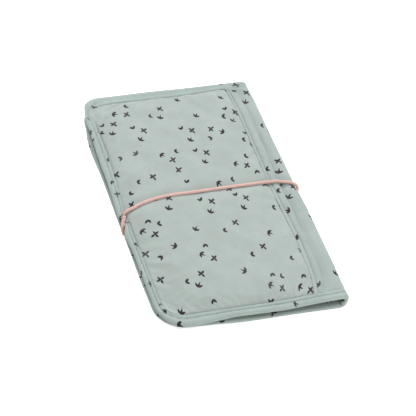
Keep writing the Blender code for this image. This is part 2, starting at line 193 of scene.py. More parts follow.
high_edge = smooth_table([-60, 0, 80], [0.7, 0.65, 0.45])
high_seam = smooth_table(
    [-72, -68, -62, -52, -38, -24, -5, 14, 33, 49, 60],
    [7.5, 7.0, 5.4, 2.6, 2.5, 2.8, 2.2, 2.6, 2.0, 0.3, 0.0], 4.0
)
back_fore_edge = smooth_table(
    [-100, -83, -60, -36, -20, -1, 14, 28, 43, 58, 73, 89, 103, 112],
    [1.5, 1.2, 0.6, 0.4, 0.4, 0.0, -0.1, 0.1, 0.4, 0.2, -0.8, -0.5, 1.9, 3.0], 5.0
)
back_low_edge = smooth_table(
    [-60, -46, -30, -10, 12, 30, 50, 75], [3.4, 2.6, 1.0, -0.4, 0.2, 0.3, 0.0, -0.4], 6.0
)
# shifts along +X of the seam band and of the spine
band_shift = smooth_table(
    [-130, -121, -108, -94, -77, -62, -36, 0, 30, 60, 87, 113, 122],
    [-8.4, -6.2, -3.3, -2.4, -1.4, -0.9, -1.5, -1.7, -0.6, 0.2, 1.1, 0.5, 0.0], 4.0
)
spine_bulge = smooth_table(
    [-135, -110, -90, -60, -20, 10, 40, 65, 85, 110, 135],
    [-0.7, -0.5, 0.3, 0.9, 0.9, 0.5, 0.6, 0.9, 1.3, 1.9, 0.8], 6.0
)


def edge_reach(depth, edge, seam, fade):
    """Shift at a depth inside an edge, dying out over the length fade past the seam."""
    near = edge + (seam - edge) * np.clip(depth / INSET, -0.2, 1.0)
    return near * (1 - ease((depth - INSET) / fade))


def bulge(x, y):
    return spine_bulge(y) * ease((x - 70.0) / 9.0)


def warp_front(x, y):
    held_x = np.clip(x, -80.0, END_X)
    shift_x = edge_reach(x - EDGE_X, fore_edge(y), fore_seam(y), 40.0)
    near_band = ease((x - 18.0) / 34.0) * (1 - ease((x - 68.0) / 9.5))
    shift_x = shift_x + band_shift(y) * near_band + bulge(x, y)
    narrow = ease((x - BAND_X0 - 0.6) / (BAND_X1 - BAND_X0 - 0.9))
    narrow = narrow * (1 - ease((x - BAND_X1 - 0.6) / 8.0))
    shift_x = shift_x - 0.85 * narrow * ease((y + 45.0) / 45.0)
    shift_y = edge_reach(y + EDGE_Y, low_edge(held_x), low_seam(held_x), 45.0)
    shift_y = shift_y - edge_reach(EDGE_Y - y, high_edge(held_x), high_seam(held_x), 45.0)
    return x + shift_x, y + shift_y


def warp_back(x, y):
    fore = back_fore_edge(y)
    low = back_low_edge(np.clip(x, -80.0, END_X))
    high = 1.5
    shift_x = edge_reach(x - BACK_EDGE_X, fore, fore, 45.0) + bulge(x, y)
    shift_y = edge_reach(y + EDGE_Y, low, low, 45.0) - edge_reach(EDGE_Y - y, high, high, 45.0)
    return x + shift_x, y + shift_y


def unwarp_front(x, y):
    found_x, found_y = x, y
    for _ in range(4):
        back_x, back_y = warp_front(found_x, found_y)
        found_x, found_y = found_x - (back_x - x), found_y - (back_y - y)
    return found_x, found_y


def hole_dip(x, y):
    """Cloth drawn down into the hole that both ends of the cord come out of."""
    return 1.5 * np.exp(
        -(((x - HOLE_X + 0.3) / 1.5) ** 2) - (((y - HOLE_Y) / 2.3) ** 2) ** 1.3
    )


def strand_press(x, y):
    """Share of pressing under the short strand between the hole and the fore edge."""
    reach_x, reach_y = 3.4, 10.6        # the strand runs this far towards -X and -Y
    from_x, from_y = HOLE_X - 0.6 - x, HOLE_Y - 1.0 - y
    share = (from_x * reach_x + from_y * reach_y) / (reach_x**2 + reach_y**2)
    share = np.clip(share, 0.0, 1.0)
    far = np.hypot(reach_x * share - from_x, reach_y * share - from_y)
    return np.exp(-((far / 2.1) ** 2))


def edge_dent(x, y, centre, depth, wide):
    """The soft edge drawn in where the cord bends round it."""
    inward = np.exp(-np.clip(x + 81.0, 0, None) / 5.0)
    return depth * np.exp(-(((y - centre) / wide) ** 2)) * inward


def warped(points, kind):
    """The points of one piece, moved with the cover they belong to."""
    points = np.array(points, float)
    if kind is None:
        return points
    x, y, z = points[..., 0], points[..., 1], points[..., 2]
    front_x, front_y = warp_front(x, y)
    back_x, back_y = warp_back(x, y)
    bent = np.clip((12.0 - z) / 8.0, 0, 1)
    near = ease((x - 66.0) / 9.0)
    # share of the back cover's warp
    share = {
        "front": 0.0, "back": 1.0, "fold": bent,
        "front_lining": bent * near, "back_lining": 1 - (1 - bent) * near,
    }[kind]
    if kind == "front":
        above = ease((z - edge_z(x, y) - 0.3) / 1.0)
        z = z - (hole_dip(front_x, front_y) + 1.1 * strand_press(front_x, front_y)) * above
        front_x = front_x + edge_dent(front_x, front_y, centre=-22.8, depth=2.6, wide=4.0)
    if kind == "back":
        back_x = back_x + edge_dent(back_x, back_y, centre=-25.2, depth=2.2, wide=3.2)
    return stack(
        front_x + (back_x - front_x) * share, front_y + (back_y - front_y) * share, z
    )


def crown_share(x, y):
    """0 on the main panel's bound seams, rising to 1 in its middle."""
    seam = edge_z(x, y) + 1.55
    rise = 7.5 + 1.25 * np.clip(15.0 - seam, 0.0, 9.0)
    fore = 1 - np.exp(-np.clip(x - SEAM_X, 0, None) / rise)
    low = 1 - np.exp(-np.clip(y + EDGE_Y - INSET, 0, None) / rise)
    high = 1 - np.exp(-np.clip(EDGE_Y - INSET - y, 0, None) / rise)
    return fore * low * high


def top_z(x, y, pressed=True):
    """Smooth outer surface of the front cover, without seams."""
    seam = edge_z(x, y) + 1.55
    plateau = 15.35 - 0.5 * ease((x - 20.0) / 45.0)
    share = crown_share(x, y)
    z = seam + np.clip(plateau - seam, 0.15, None) * share
    z = z + 0.22 * share * waves(x, y, 3, 62.0)
    if pressed:
        near = np.exp(-(((y - cord_y(x)) / 5.0) ** 2))
        z = z - 0.7 * near * ease((x - (EDGE_X + 5)) / 12.0)
    return z


def layer(x, y, z):
    """A CAD layer height (as it is at the spine) pressed into the soft stack."""
    return z * top_z(x, y, False) / COVER_TOP


def back_edge_z(x, y):
    """Mid-height of the back cover's bound edge, which curls up a little."""
    bump = np.exp(-(((x + 34.0) / 34.0) ** 2)) * np.exp(-(((y + 135.0) / 45.0) ** 2))
    corner = ease((fore_z(y) - 5.0) / 3.5)
    return 1.62 + 0.85 * bump + 0.35 * corner * np.exp(-(((x - FORE_X) / 30.0) ** 2))


# ------------------------------------------------------------- mesh builders
def make(name, verts, faces, flat, material, sharp=55.0, warp=None):
    """A smooth mesh object; flat holds each point's place on the unrolled cloth."""
    mesh = bpy.data.meshes.new(name)
    mesh.from_pydata((warped(verts, warp) * MM).tolist(), [], faces)
    work = bmesh.new()
    work.from_mesh(mesh)
    bmesh.ops.recalc_face_normals(work, faces=work.faces)
    work.to_mesh(mesh)
    work.free()
    flat = np.column_stack([flat, np.zeros(len(flat))]).astype(np.float32)
    mesh.attributes.new("flat", "FLOAT_VECTOR", "POINT").data.foreach_set(
        "vector", flat.ravel()
    )
    mesh.materials.append(material)
    mesh.shade_smooth()
    mesh.set_sharp_from_angle(angle=math.radians(sharp))
    return link(name, mesh)


def link(name, data):
    obj = bpy.data.objects.new(name, data)
    bpy.context.scene.collection.objects.link(obj)
    return obj


def attach(obj, motion, slot, *nodes):
    """Attach a piece to the body named by motion, or for any other motion only bake its transform;
    hide the CAD nodes it replaces. The slot argument is not used.
    """
    if isinstance(motion, str):
        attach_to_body(obj, motion)
    else:
        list(motion)
        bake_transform(obj)
    if nodes:
        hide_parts(*nodes)


def shell(name, top, bottom, flat, material, warp=None):
    """A closed sheet between two grids."""
    rows, cols = top.shape[:2]
    verts = np.concatenate([top.reshape(-1, 3), bottom.reshape(-1, 3)])
    coords = np.concatenate([flat.reshape(-1, 2)] * 2)

    def at(i, j, side):
        return side * rows * cols + i * cols + j

    faces = []
    for i in range(rows - 1):
        for j in range(cols - 1):
            faces.append((at(i, j, 0), at(i + 1, j, 0), at(i + 1, j + 1, 0), at(i, j + 1, 0)))
            faces.append((at(i, j, 1), at(i, j + 1, 1), at(i + 1, j + 1, 1), at(i + 1, j, 1)))
    j = cols - 1
    for i in range(rows - 1):
        faces.append((at(i, 0, 0), at(i, 0, 1), at(i + 1, 0, 1), at(i + 1, 0, 0)))
        faces.append((at(i, j, 0), at(i + 1, j, 0), at(i + 1, j, 1), at(i, j, 1)))
    i = rows - 1
    for j in range(cols - 1):
        faces.append((at(0, j, 0), at(0, j + 1, 0), at(0, j + 1, 1), at(0, j, 1)))
        faces.append((at(i, j, 0), at(i, j, 1), at(i, j + 1, 1), at(i, j + 1, 0)))
    return make(name, verts, faces, coords, material, warp=warp)


def tube_faces(rows, sides, base=0):
    """Faces of a closed section carried along rows, with both ends capped."""
    def at(i, j):
        return base + i * sides + j % sides

    faces = [
        (at(i, j), at(i, j + 1), at(i + 1, j + 1), at(i + 1, j))
        for i in range(rows - 1)
        for j in range(sides)
    ]
    faces.append(tuple(at(0, j) for j in reversed(range(sides))))
    faces.append(tuple(at(rows - 1, j) for j in range(sides)))
    return faces


def sweep(name, rings, flat, material, warp=None):
    """A closed section swept along a path: rings is (stations, points, 3)."""
    faces = tube_faces(*rings.shape[:2])
    verts, coords = rings.reshape(-1, 3), flat.reshape(-1, 2)
    return make(name, verts, faces, coords, material, sharp=75.0, warp=warp)


def spread(start, end, count):
    """Positions from start to end, closer together towards both ends."""
    place = np.linspace(-1, 1, count)
    place = np.sign(place) * (1 - (1 - np.abs(place)) ** 1.6)
    return start + (end - start) * (place + 1) / 2


def bound_grid(x0, x1, y_half, corners, size, spine_corners=(0.0, 0.0)):
    """Grid over a panel with rounded corners; radii are given as (low, high)."""
    rows, cols = size
    ys = spread(-y_half, y_half, cols)

    def pull(low, high):
        out = np.zeros_like(ys)
        for radius, beyond in ((low, -y_half + low - ys), (high, ys - y_half + high)):
            if radius > 0:
                share = np.clip(beyond / radius, 0, 1)
                out = out + radius * (1 - np.sqrt(np.clip(1 - share * share, 0, 1)))
        return out

    left = x0 + pull(*corners)
    right = x1 - pull(*spine_corners)
    x = left[None, :] + (right - left)[None, :] * spread(0.0, 1.0, rows)[:, None]
    return x, np.broadcast_to(ys[None, :], x.shape).copy()


# ------------------------------------------------------------- node helpers
class Nodes:
    """Shader nodes written as expressions."""

    def __init__(self, tree):
        self.tree = tree

    def node(self, kind, **values):
        made = self.tree.nodes.new(kind)
        assign(made, **values)
        return made

    def wire(self, target, value):
        if isinstance(value, bpy.types.NodeSocket):
            self.tree.links.new(value, target)
        else:
            target.default_value = value

    def fill(self, node, values):
        for key, value in values.items():
            self.wire(node.inputs[key], value)

    def math(self, operation, *values, clamp=False):
        made = self.node("ShaderNodeMath", operation=operation, use_clamp=clamp)
        self.fill(made, dict(enumerate(values)))
        return made.outputs[0]

    def vec(self, operation, *values, scale=None):
        made = self.node("ShaderNodeVectorMath", operation=operation)
        self.fill(made, dict(enumerate(values)))
        if scale is not None:
            self.wire(made.inputs["Scale"], scale)
        return made.outputs["Value" if operation in ("LENGTH", "DOT_PRODUCT") else "Vector"]

    def ramp(self, value, span, to=(0.0, 1.0)):
        """Smooth change from one value to another while value crosses span."""
        made = self.node("ShaderNodeMapRange", interpolation_type="SMOOTHSTEP", clamp=True)
        self.fill(made, {
            "Value": value, "From Min": span[0], "From Max": span[1],
            "To Min": to[0], "To Max": to[1],
        })
        return made.outputs["Result"]

    def mix(self, share, start, end):
        made = self.node("ShaderNodeMix", data_type="RGBA")
        self.fill(made, {"Factor": share, "A": start, "B": end})
        return made.outputs["Result"]

    def noise(self, vector, scale, detail=2.0, rough=0.5, output="Fac"):
        made = self.node("ShaderNodeTexNoise")
        self.fill(made, {
            "Vector": vector, "Scale": scale, "Detail": detail, "Roughness": rough
        })
        return made.outputs[output]

    def random(self, vector):
        made = self.node("ShaderNodeTexWhiteNoise", noise_dimensions="3D")
        self.wire(made.inputs["Vector"], vector)
        return made.outputs["Color"]

    def turn(self, vector, angle):
        made = self.node("ShaderNodeVectorRotate", rotation_type="Z_AXIS")
        self.fill(made, {"Vector": vector, "Angle": angle})
        return made.outputs[0]

    def split(self, vector):
        made = self.node("ShaderNodeSeparateXYZ")
        self.wire(made.inputs[0], vector)
        return made.outputs[0], made.outputs[1], made.outputs[2]

    def join(self, x, y, z=0.0):
        made = self.node("ShaderNodeCombineXYZ")
        self.fill(made, {0: x, 1: y, 2: z})
        return made.outputs[0]

    def attribute(self, name, output="Vector"):
        return self.node("ShaderNodeAttribute", attribute_name=name).outputs[output]

    def bump(self, shader, height, distance, strength=1.0):
        made = self.node("ShaderNodeBump")
        self.fill(made, {"Strength": strength, "Distance": distance, "Height": height})
        self.wire(shader.inputs["Normal"], made.outputs[0])


def new_material(name):
    """A material with its node tree and default shader."""
    made = bpy.data.materials.new(name)
    made.use_nodes = True
    return made, Nodes(made.node_tree), made.node_tree.nodes["Principled BSDF"]


def linear(*colour):
    """Linear RGBA from 0-255 sRGB."""
    def channel(value):
        value /= 255.0
        return value / 12.92 if value <= 0.04045 else ((value + 0.055) / 1.055) ** 2.4

    return (*map(channel, colour), 1.0)


def shaded(colour, factor, lift=0.0):
    """Colour times a factor, or one factor per channel, held to 1."""
    return (*np.minimum(np.array(colour[:3]) * factor + lift, 1.0).tolist(), 1.0)


# ------------------------------------------------------------- printed cloth
# strokes of the print's motifs: start, end, half width
SPRIG = (
    ((0.0, 2.6), (0.05, -1.5), 0.42),
    ((0.0, -2.3), (-2.5, 0.3), 0.66),
    ((0.1, -2.3), (2.6, 0.0), 0.66),
    ((0.0, -2.5), (0.1, 0.7), 0.72),
)
TICK = (
    ((0.15, -1.2), (-1.9, 0.2), 0.62),
    ((0.0, -1.2), (0.7, 1.3), 0.60),
)
CROSS = (
    ((-2.9, 1.5), (0.2, 0.0), 0.62),
    ((0.2, 0.0), (2.6, -1.9), 0.62),
    ((-1.9, -2.2), (0.1, 0.1), 0.58),
    ((0.1, 0.0), (1.6, 2.3), 0.66),
)
# one group: motif, centre, turn, size, span of the group's random plan that shows it
MOTIFS = (
    (CROSS, (5.0, 5.4), 0.1, 1.16, (0.30, 1.1)),
    (SPRIG, (5.4, -5.2), -0.1, 1.12, (-0.1, 0.80)),
    (TICK, (-5.2, 4.6), 0.4, 1.4, (0.22, 0.62)),
    (TICK, (-4.4, -5.2), -1.5, 1.4, (0.48, 1.1)),
)
GROUP_CELL = (33.0, 28.5)               # spacing of the groups


def sprig_mask(tree, where, seed):
    """Small leafy sprigs, ticks and crosses in loose groups: share of ink."""
    width, height = GROUP_CELL
    shifted = tree.vec("ADD", tree.turn(where, angle=0.21), (seed * 31.0, seed * 19.0, 0.0))
    scaled = tree.vec("MULTIPLY", shifted, (1.0 / width, 1.0 / height, 0.0))
    # every second row of groups is set half a step along, as in a half-drop repeat
    x, y, _ = tree.split(scaled)
    odd = tree.math("MODULO", tree.math("ABSOLUTE", tree.math("FLOOR", y)), 2.0)
    scaled = tree.join(tree.math("MULTIPLY_ADD", odd, 0.5, x), y)
    index = tree.vec("FLOOR", scaled)
    local = tree.vec("SUBTRACT", tree.vec("SUBTRACT", scaled, index), (0.5, 0.5, 0.0))
    first = tree.random(index)
    second = tree.random(tree.vec("ADD", index, (17.3, 5.1, 2.0)))
    jitter_x, jitter_y, spin = tree.split(tree.vec("SUBTRACT", first, (0.5, 0.5, 0.5)))
    plan, tone, lean = tree.split(second)
    place = tree.vec("MULTIPLY", local, (width, height, 0.0))
    jitter = tree.vec("MULTIPLY", tree.join(jitter_x, jitter_y), (13.0, 9.0, 0.0))
    place = tree.vec("SUBTRACT", place, jitter)
    place = tree.vec("MULTIPLY", place, (1.10, 0.90, 1.0))
    # the drawn lines wobble by a fraction of a millimetre
    wobble = tree.noise(where, scale=0.8, detail=1.0, output="Color")
    wobble = tree.vec("SCALE", tree.vec("SUBTRACT", wobble, (0.5, 0.5, 0.5)), scale=0.8)
    place = tree.vec("ADD", place, tree.vec("MULTIPLY", wobble, (1.0, 1.0, 0.0)))
    # each group is turned by a quarter turn or none, and leans a little
    quarter = tree.math("ROUND", tree.math("MULTIPLY", spin, 2.0))
    lean = tree.math("MULTIPLY", lean, 0.5)
    place = tree.turn(place, tree.math("MULTIPLY_ADD", quarter, math.pi / 2, lean))

    def leaf(start, end, wide):
        """Distance to a stroke that is widest just past its middle."""
        run = end - start
        rel = tree.vec("SUBTRACT", place, (*start, 0.0))
        along = tree.vec("DOT_PRODUCT", rel, (*(run / (run @ run)), 0.0))
        along = tree.math("ADD", along, 0.0, clamp=True)
        near = tree.vec("SUBTRACT", rel, tree.vec("SCALE", (*run, 0.0), scale=along))
        middle = tree.math("MULTIPLY_ADD", along, 2.0, -1.0 - 0.18)
        square = tree.math("MULTIPLY", middle, middle)
        fat = tree.math("MULTIPLY_ADD", square, -0.85 * wide, 1.15 * wide)
        return tree.math("SUBTRACT", tree.vec("LENGTH", near), fat)

    def union(shapes):
        return functools.reduce(lambda one, two: tree.math("MINIMUM", one, two), shapes)

    def drawn(strokes, centre, angle, size):
        cos, sin = math.cos(angle) * size, math.sin(angle) * size
        turn = np.array(((cos, -sin), (sin, cos)))
        return union([
            leaf(turn @ start + centre, turn @ end + centre, wide * size)
            for start, end, wide in strokes
        ])

    def only(shape, low, high):
        """Push the shape far away outside its span of the plan."""
        hidden = tree.math(
            "ADD", tree.math("LESS_THAN", plan, low), tree.math("GREATER_THAN", plan, high)
        )
        return tree.math("ADD", shape, tree.math("MULTIPLY", hidden, 9.0))

    shapes = [drawn(*motif[:4]) for motif in MOTIFS]
    distance = union([only(shape, *motif[4]) for shape, motif in zip(shapes, MOTIFS)])
    ink = tree.ramp(distance, span=(-0.04, 0.26), to=(1.0, 0.0))
    return tree.math("MULTIPLY", ink, tree.ramp(tone, span=(0.0, 0.2), to=(0.86, 1.0)))


def fabric(name, colour, rough=0.82, thread=0.42, depth=0.045, printed=False, sheen=0.25,
           twill=0.0, bump=0.7, seed=0.0, painted_crease_shade=False):
    """Woven cloth: weave relief, slubs, soft colour drift, lighter convex edges, and a print.

    thread is the weave's pitch, depth its relief, and twill its slant.
    """
    made, tree, _ = new_material(name)
    made.node_tree.nodes.clear()
    out = tree.node("ShaderNodeOutputMaterial")
    shader = tree.node("ShaderNodeBsdfPrincipled")
    tree.wire(out.inputs["Surface"], shader.outputs[0])
    where = tree.attribute("flat")
    base = linear(*colour)
    drift = tree.noise(where, scale=0.045, detail=3.0, rough=0.6)
    tint = tree.mix(
        tree.ramp(drift, span=(0.3, 0.7)), shaded(base, 0.93), shaded(base, 1.045)
    )
    blot_place = tree.vec("ADD", where, (41.0, 7.0, 0.0))
    blot = tree.noise(blot_place, scale=0.16, detail=1.0, rough=0.4)
    tint = tree.mix(
        tree.ramp(blot, span=(0.60, 0.68), to=(0.0, 0.35)),
        tint, shaded(base, (0.95, 0.92, 0.95)),
    )
    slub_place = tree.vec("MULTIPLY", where, (0.35, 2.2, 1.0))
    slub = tree.noise(slub_place, scale=0.9, detail=3.0, rough=0.7)
    tint = tree.mix(
        tree.ramp(slub, span=(0.35, 0.75), to=(0.0, 0.35)), tint, shaded(base, 0.9)
    )
    # weave: crossing sines, 0 to 1
    x, y, _ = tree.split(where)
    if twill:
        x = tree.math("ADD", x, tree.math("MULTIPLY", y, twill))
    pace = math.tau / thread
    warp = tree.math("SINE", tree.math("MULTIPLY", x, pace))
    weft = tree.math("SINE", tree.math("MULTIPLY", y, pace))
    weave = tree.math("MULTIPLY_ADD", tree.math("MULTIPLY", warp, weft), 0.5, 0.5)
    # painted shade: the cloth is darker in the low points between the threads
    tint = tree.mix(
        tree.ramp(weave, span=(0.0, 0.6), to=(0.16, 0.0)), tint, shaded(base, 0.72)
    )
    if printed:
        mask = sprig_mask(tree, where, seed)
        fray = tree.noise(where, scale=2.4, detail=2.0, rough=0.6)
        fray = tree.ramp(fray, span=(0.2, 0.42), to=(0.82, 1.0))
        tint = tree.mix(tree.math("MULTIPLY", mask, fray), tint, linear(38, 27, 36))
    if painted_crease_shade:
        # painted shade along the crease's valley, coming and going along its length
        crease_shade_share = tree.attribute("crease", "Fac")
        crease_shade_place = tree.vec("ADD", where, (3.0, 19.0, 0.0))
        crease_shade_depth = tree.noise(crease_shade_place, scale=0.07, detail=2.0, rough=0.5)
        crease_shade_depth = tree.ramp(crease_shade_depth, span=(0.3, 0.7), to=(0.10, 0.2))
        tint = tree.mix(tree.math("MULTIPLY", crease_shade_share, crease_shade_depth), tint, shaded(base, 0.45))
    # lighter where the surface is convex, as on the rolled edges
    pointy = tree.node("ShaderNodeNewGeometry").outputs["Pointiness"]
    tint = tree.mix(
        tree.ramp(pointy, span=(0.52, 0.60), to=(0.0, 0.22)),
        tint, shaded(base, 1.18, lift=0.02),
    )
    coarse = tree.noise(where, scale=0.22, detail=3.0, rough=0.55)
    height = tree.math("MULTIPLY_ADD", weave, depth, tree.math("MULTIPLY", coarse, 0.16))
    height = tree.math("ADD", height, tree.math("MULTIPLY", slub, 0.03))
    tree.bump(shader, height, distance=MM, strength=bump)
    tree.fill(shader, {
        "Base Color": tint,
        "Roughness": tree.ramp(slub, span=(0.3, 0.8), to=(rough - 0.05, rough + 0.07)),
        "Sheen Weight": sheen,
        "Sheen Roughness": 0.45,
        "Specular IOR Level": 0.25,
    })
    return made


def foam_material():
    made, tree, shader = new_material("foam_open_cell")
    cells = tree.node("ShaderNodeTexVoronoi")
    where = tree.node("ShaderNodeTexCoord").outputs["Object"]
    tree.fill(cells, {"Vector": where, "Scale": 900.0})
    depth = cells.outputs["Distance"]
    # painted shade: the foam is darker in its cells' hollows
    shade = tree.mix(depth, (0.42, 0.43, 0.39, 1.0), (0.54, 0.54, 0.50, 1.0))
    tree.bump(shader, depth, distance=0.3 * MM)
    tree.fill(shader, {"Base Color": shade, "Roughness": 0.95})
    return made


def thread_material(name, colour):
    """Twisted sewing thread: fine diagonal ply along the stitch."""
    made, tree, shader = new_material(name)
    x, y, _ = tree.split(tree.attribute("flat"))
    slant = tree.math("ADD", tree.math("MULTIPLY", x, 9.0), tree.math("MULTIPLY", y, 7.0))
    ply = tree.math("SINE", slant)
    base = linear(*colour)
    # painted shade in the grooves between the plies
    shade = tree.mix(tree.ramp(ply, span=(-1.0, 1.0)), shaded(base, 0.78), base)
    tree.bump(shader, ply, distance=0.05 * MM)
    tree.fill(shader, {"Base Color": shade, "Roughness": 0.7, "Sheen Weight": 0.2})
    return made


def cord_material():
    """Round braided elastic: two crossing sets of strands."""
    made, tree, shader = new_material("elastic_braid")
    where = tree.attribute("flat")
    along, around, _ = tree.split(where)
    along = tree.math("MULTIPLY", along, math.tau / 1.5)
    around = tree.math("MULTIPLY", around, math.tau * 6)
    one = tree.math("SINE", tree.math("ADD", along, around))
    two = tree.math("SINE", tree.math("SUBTRACT", along, around))
    braid = tree.math("MAXIMUM", one, two)
    base = linear(211, 175, 165)
    # painted shade in the braid's grooves, darker and warmer between the strands
    shade = tree.mix(
        tree.ramp(braid, span=(-0.3, 0.9)), shaded(base, (0.86, 0.76, 0.74)), base
    )
    drift = tree.noise(tree.vec("MULTIPLY", where, (1.0, 0.0, 0.0)), scale=0.12)
    shade = tree.mix(
        tree.ramp(drift, span=(0.35, 0.65), to=(0.0, 0.25)), shade, shaded(base, 1.05)
    )
    tree.bump(shader, braid, distance=0.12 * MM, strength=0.8)
    tree.fill(shader, {"Base Color": shade, "Roughness": 0.68, "Sheen Weight": 0.3})
    return made


PRINT = fabric("cotton_print_main", (155, 165, 161), printed=True)
# the spine strip's cloth has painted shade along its crease valley
PRINT_STRIP = fabric(
    "cotton_print_spine", (152, 163, 160), printed=True, seed=3.37, painted_crease_shade=True
)
PRINT_BACK = fabric("cotton_print_back", (153, 163, 159), printed=True, seed=7.81)
TAPE = fabric(
    "cotton_bias_tape", (152, 165, 161), printed=True, seed=11.43, thread=0.4, twill=1.0
)
LINING = fabric(
    "coated_lining", (163, 172, 168), rough=0.55, thread=0.3, depth=0.02, sheen=0.1, bump=0.5
)
MAT = fabric("mat_cloth", (174, 180, 176), rough=0.6, thread=0.5, depth=0.04, sheen=0.15)
MAT_TAPE = fabric("mat_tape", (147, 160, 154), rough=0.78, thread=0.4, twill=1.0)
POCKET = fabric("pocket_cloth", (153, 163, 159), printed=True, seed=5.9)
FOAM = foam_material()
# both threads are darker than the cloth, partly the thread's own colour and partly painted shade
# of the stitch holes; the seam thread is darker still, painted shade along the seam line
THREAD = thread_material("sewing_thread", (136, 149, 145))
SEAM_THREAD = thread_material("seam_thread", (112, 126, 124))
CORD = cord_material()


# ------------------------------------------------------------- front cover
def panel_detail(x, y):
    """Tucks and puckers where the padded panel is sewn down along its border."""
    out = np.zeros_like(x)
    # distance from a border and place along it: fore, spine, low and high
    borders = ((x - SEAM_X, y), (PANEL_X1 - x, y), (y + SEAM_Y, x), (SEAM_Y - y, x))
    for k, (depth, place) in enumerate(borders):
        depth = np.clip(depth, 0, None)
        drift = waves(place, 0 * place, 40 + k, 22.0)
        ripple = np.sin(place * math.tau / 8.2 + 1.7 * drift)
        # the tuck at the seam band is even
        deep = 0.80 if k == 1 else 1.0 + 0.3 * waves(place, 0 * place, 49 + k, 60.0)
        out = out - 1.05 * deep * np.exp(-((depth / 0.85) ** 1.6))
        near = np.exp(-depth / 5.5) * (1 - np.exp(-depth / 1.2))
        out = out + 0.13 * (0.6 + 0.4 * drift) * ripple * near
        slow = waves(place, 0 * place, 60 + k, 46.0)
        out = out + 0.16 * slow * np.exp(-depth / 11.0) * (1 - np.exp(-depth / 2.5))
    return out


def relax_cloth(x, y, z):
    """Cloth simulation of the panel, sewn down along its border and pushed up from
    below by its padding.  Returns how far each point moved, held to a cap."""
    cap = 1.3
    scale = 10 * MM                      # simulated at ten times its size
    frames = 20
    rows, cols = x.shape
    verts = stack(x, y, z).reshape(-1, 3)
    mesh = bpy.data.meshes.new("panel_simulation")
    faces = [
        (i * cols + j, (i + 1) * cols + j, (i + 1) * cols + j + 1, i * cols + j + 1)
        for i in range(rows - 1)
        for j in range(cols - 1)
    ]
    mesh.from_pydata((verts * 10 * MM).tolist(), [], faces)
    obj = link("panel_simulation", mesh)
    pins = obj.vertex_groups.new(name="sewn")
    for i in range(rows):
        for j in range(cols):
            edge = min(i, j, rows - 1 - i, cols - 1 - j)
            if edge < 2:
                pins.add([i * cols + j], 1.0 if edge == 0 else 0.6, "REPLACE")
    cloth = obj.modifiers.new("cloth", "CLOTH")
    assign(
        cloth.settings,
        quality=6,
        mass=0.3,
        vertex_group_mass="sewn",
        tension_stiffness=18,
        compression_stiffness=18,
        shear_stiffness=8,
        bending_stiffness=0.15,
        shrink_min=-0.012,
        shrink_max=-0.012,
        use_pressure=True,
        uniform_pressure_force=0.35,
        pressure_factor=1.0,
    )
    cloth.settings.effector_weights.gravity = 0.0
    assign(cloth.collision_settings, use_collision=False, use_self_collision=False)
    scene = bpy.context.scene
    for timeline in (scene, cloth.point_cache):
        assign(timeline, frame_start=1, frame_end=frames)
    for number in range(1, frames + 1):
        scene.frame_set(number)
    relaxed = obj.evaluated_get(bpy.context.evaluated_depsgraph_get())
    places = np.zeros(len(mesh.vertices) * 3)
    relaxed.data.vertices.foreach_get("co", places)
    scene.frame_set(1)
    bpy.data.objects.remove(obj, do_unlink=True)
    moved = places.reshape(-1, 3) / scale - verts
    far = np.linalg.norm(moved, axis=1, keepdims=True)
    moved = moved * np.minimum(1.0, cap / np.maximum(far, 1e-9))
    return moved.reshape(rows, cols, 3)


def build_main_panel():
    x, y = bound_grid(
        SEAM_X, PANEL_X1, SEAM_Y, corners=(CORNER_LOW - INSET - 2.0, 4.0),
        size=((92, 172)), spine_corners=(0.8, 5.5),
    )
    z = top_z(x, y) + 0.35
    moved = np.zeros(x.shape + (3,))
    # the cord holds the cloth down along its run
    held = np.exp(-(((y - cord_y(x)) / 6.5) ** 2))
    moved = relax_cloth(x, y, z) * (1 - held)[..., None]
    z = z + panel_detail(x, y)
    z = z + 0.10 * waves(x, y, 71, 15.0) * crown_share(x, y)
    top = stack(x, y, z) + moved
    under = stack(x, y, np.minimum(top_z(x, y, False) - 1.0, top[..., 2] - 0.25))
    obj = shell("front_main_panel", top, under, stack(x, y), PRINT, warp="front")
    attach(obj, "front_cover", "printed_outer_fabric", "front_main_fabric")


def corner_pull(y):
    """The seam rounds into the high edge's binding at its +Y end."""
    radius = 5.5
    share = np.clip((y - SEAM_Y + radius) / radius, 0.0, 1.0)
    return -radius * (1 - np.sqrt(np.clip(1 - share * share, 0, 1)))


def cord_press(x, y):
    return np.exp(-(((y - cord_y(x)) / 5.5) ** 2))


def seam_z(x, y):
    """Height of the sewn cloth at the seam band."""
    return edge_z(x, y) + 1.6 - 0.45 * cord_press(x, y)


def strip_valley(y):
    """Where the strip's long crease runs."""
    return BAND_X0 + 11.3 - 1.6 * ease((-y - 30.0) / 60.0) + 0.5 * waves(y, 0 * y, 9, 90.0)


def strip_z(x, y):
    """Top of the strip between the seam band and the fold, with its soft valley."""
    z = edge_z(np.minimum(x, END_X), y) + 1.55 + 0.15
    valley = strip_valley(y)
    ends = 1 - 0.8 * np.exp(-np.clip(SEAM_Y - np.abs(y), 0, None) / 2.5)
    deep = (0.85 + 0.12 * waves(y, 0 * y, 10, 75.0)) * ends
    crease = (1.0 + 0.25 * waves(y, 0 * y, 16, 48.0)) * ends
    z = z - deep * np.exp(-(((x - valley) / 3.2) ** 2))
    z = z - crease * np.exp(-np.abs((x - valley + 1.2) / 1.25) ** 1.7)
    z = z + 0.95 * np.exp(-(((x - BAND_X1 - 3.5) / 2.6) ** 2))
    z = z + 0.25 * np.exp(-(((x - valley - 3.2) / 2.2) ** 2)) * ends
    z = z - 0.35 * ease((x - 73.0) / 4.0) + 0.25
    z = z + 0.10 * waves(x * 2.2, y * 0.7, 13, 24.0)
    # tension folds running out from where the cord bites into the fold
    far = np.hypot(x - 83.0, (y + 4.0) * 0.8)
    turn = np.arctan2(y + 4.0, 83.0 - x)
    z = z + 0.26 * np.sin(7.0 * turn + 0.8) * np.exp(-far / 15.0) * (1 - np.exp(-far / 4.0))
    return z - 0.5 * cord_press(x, y)


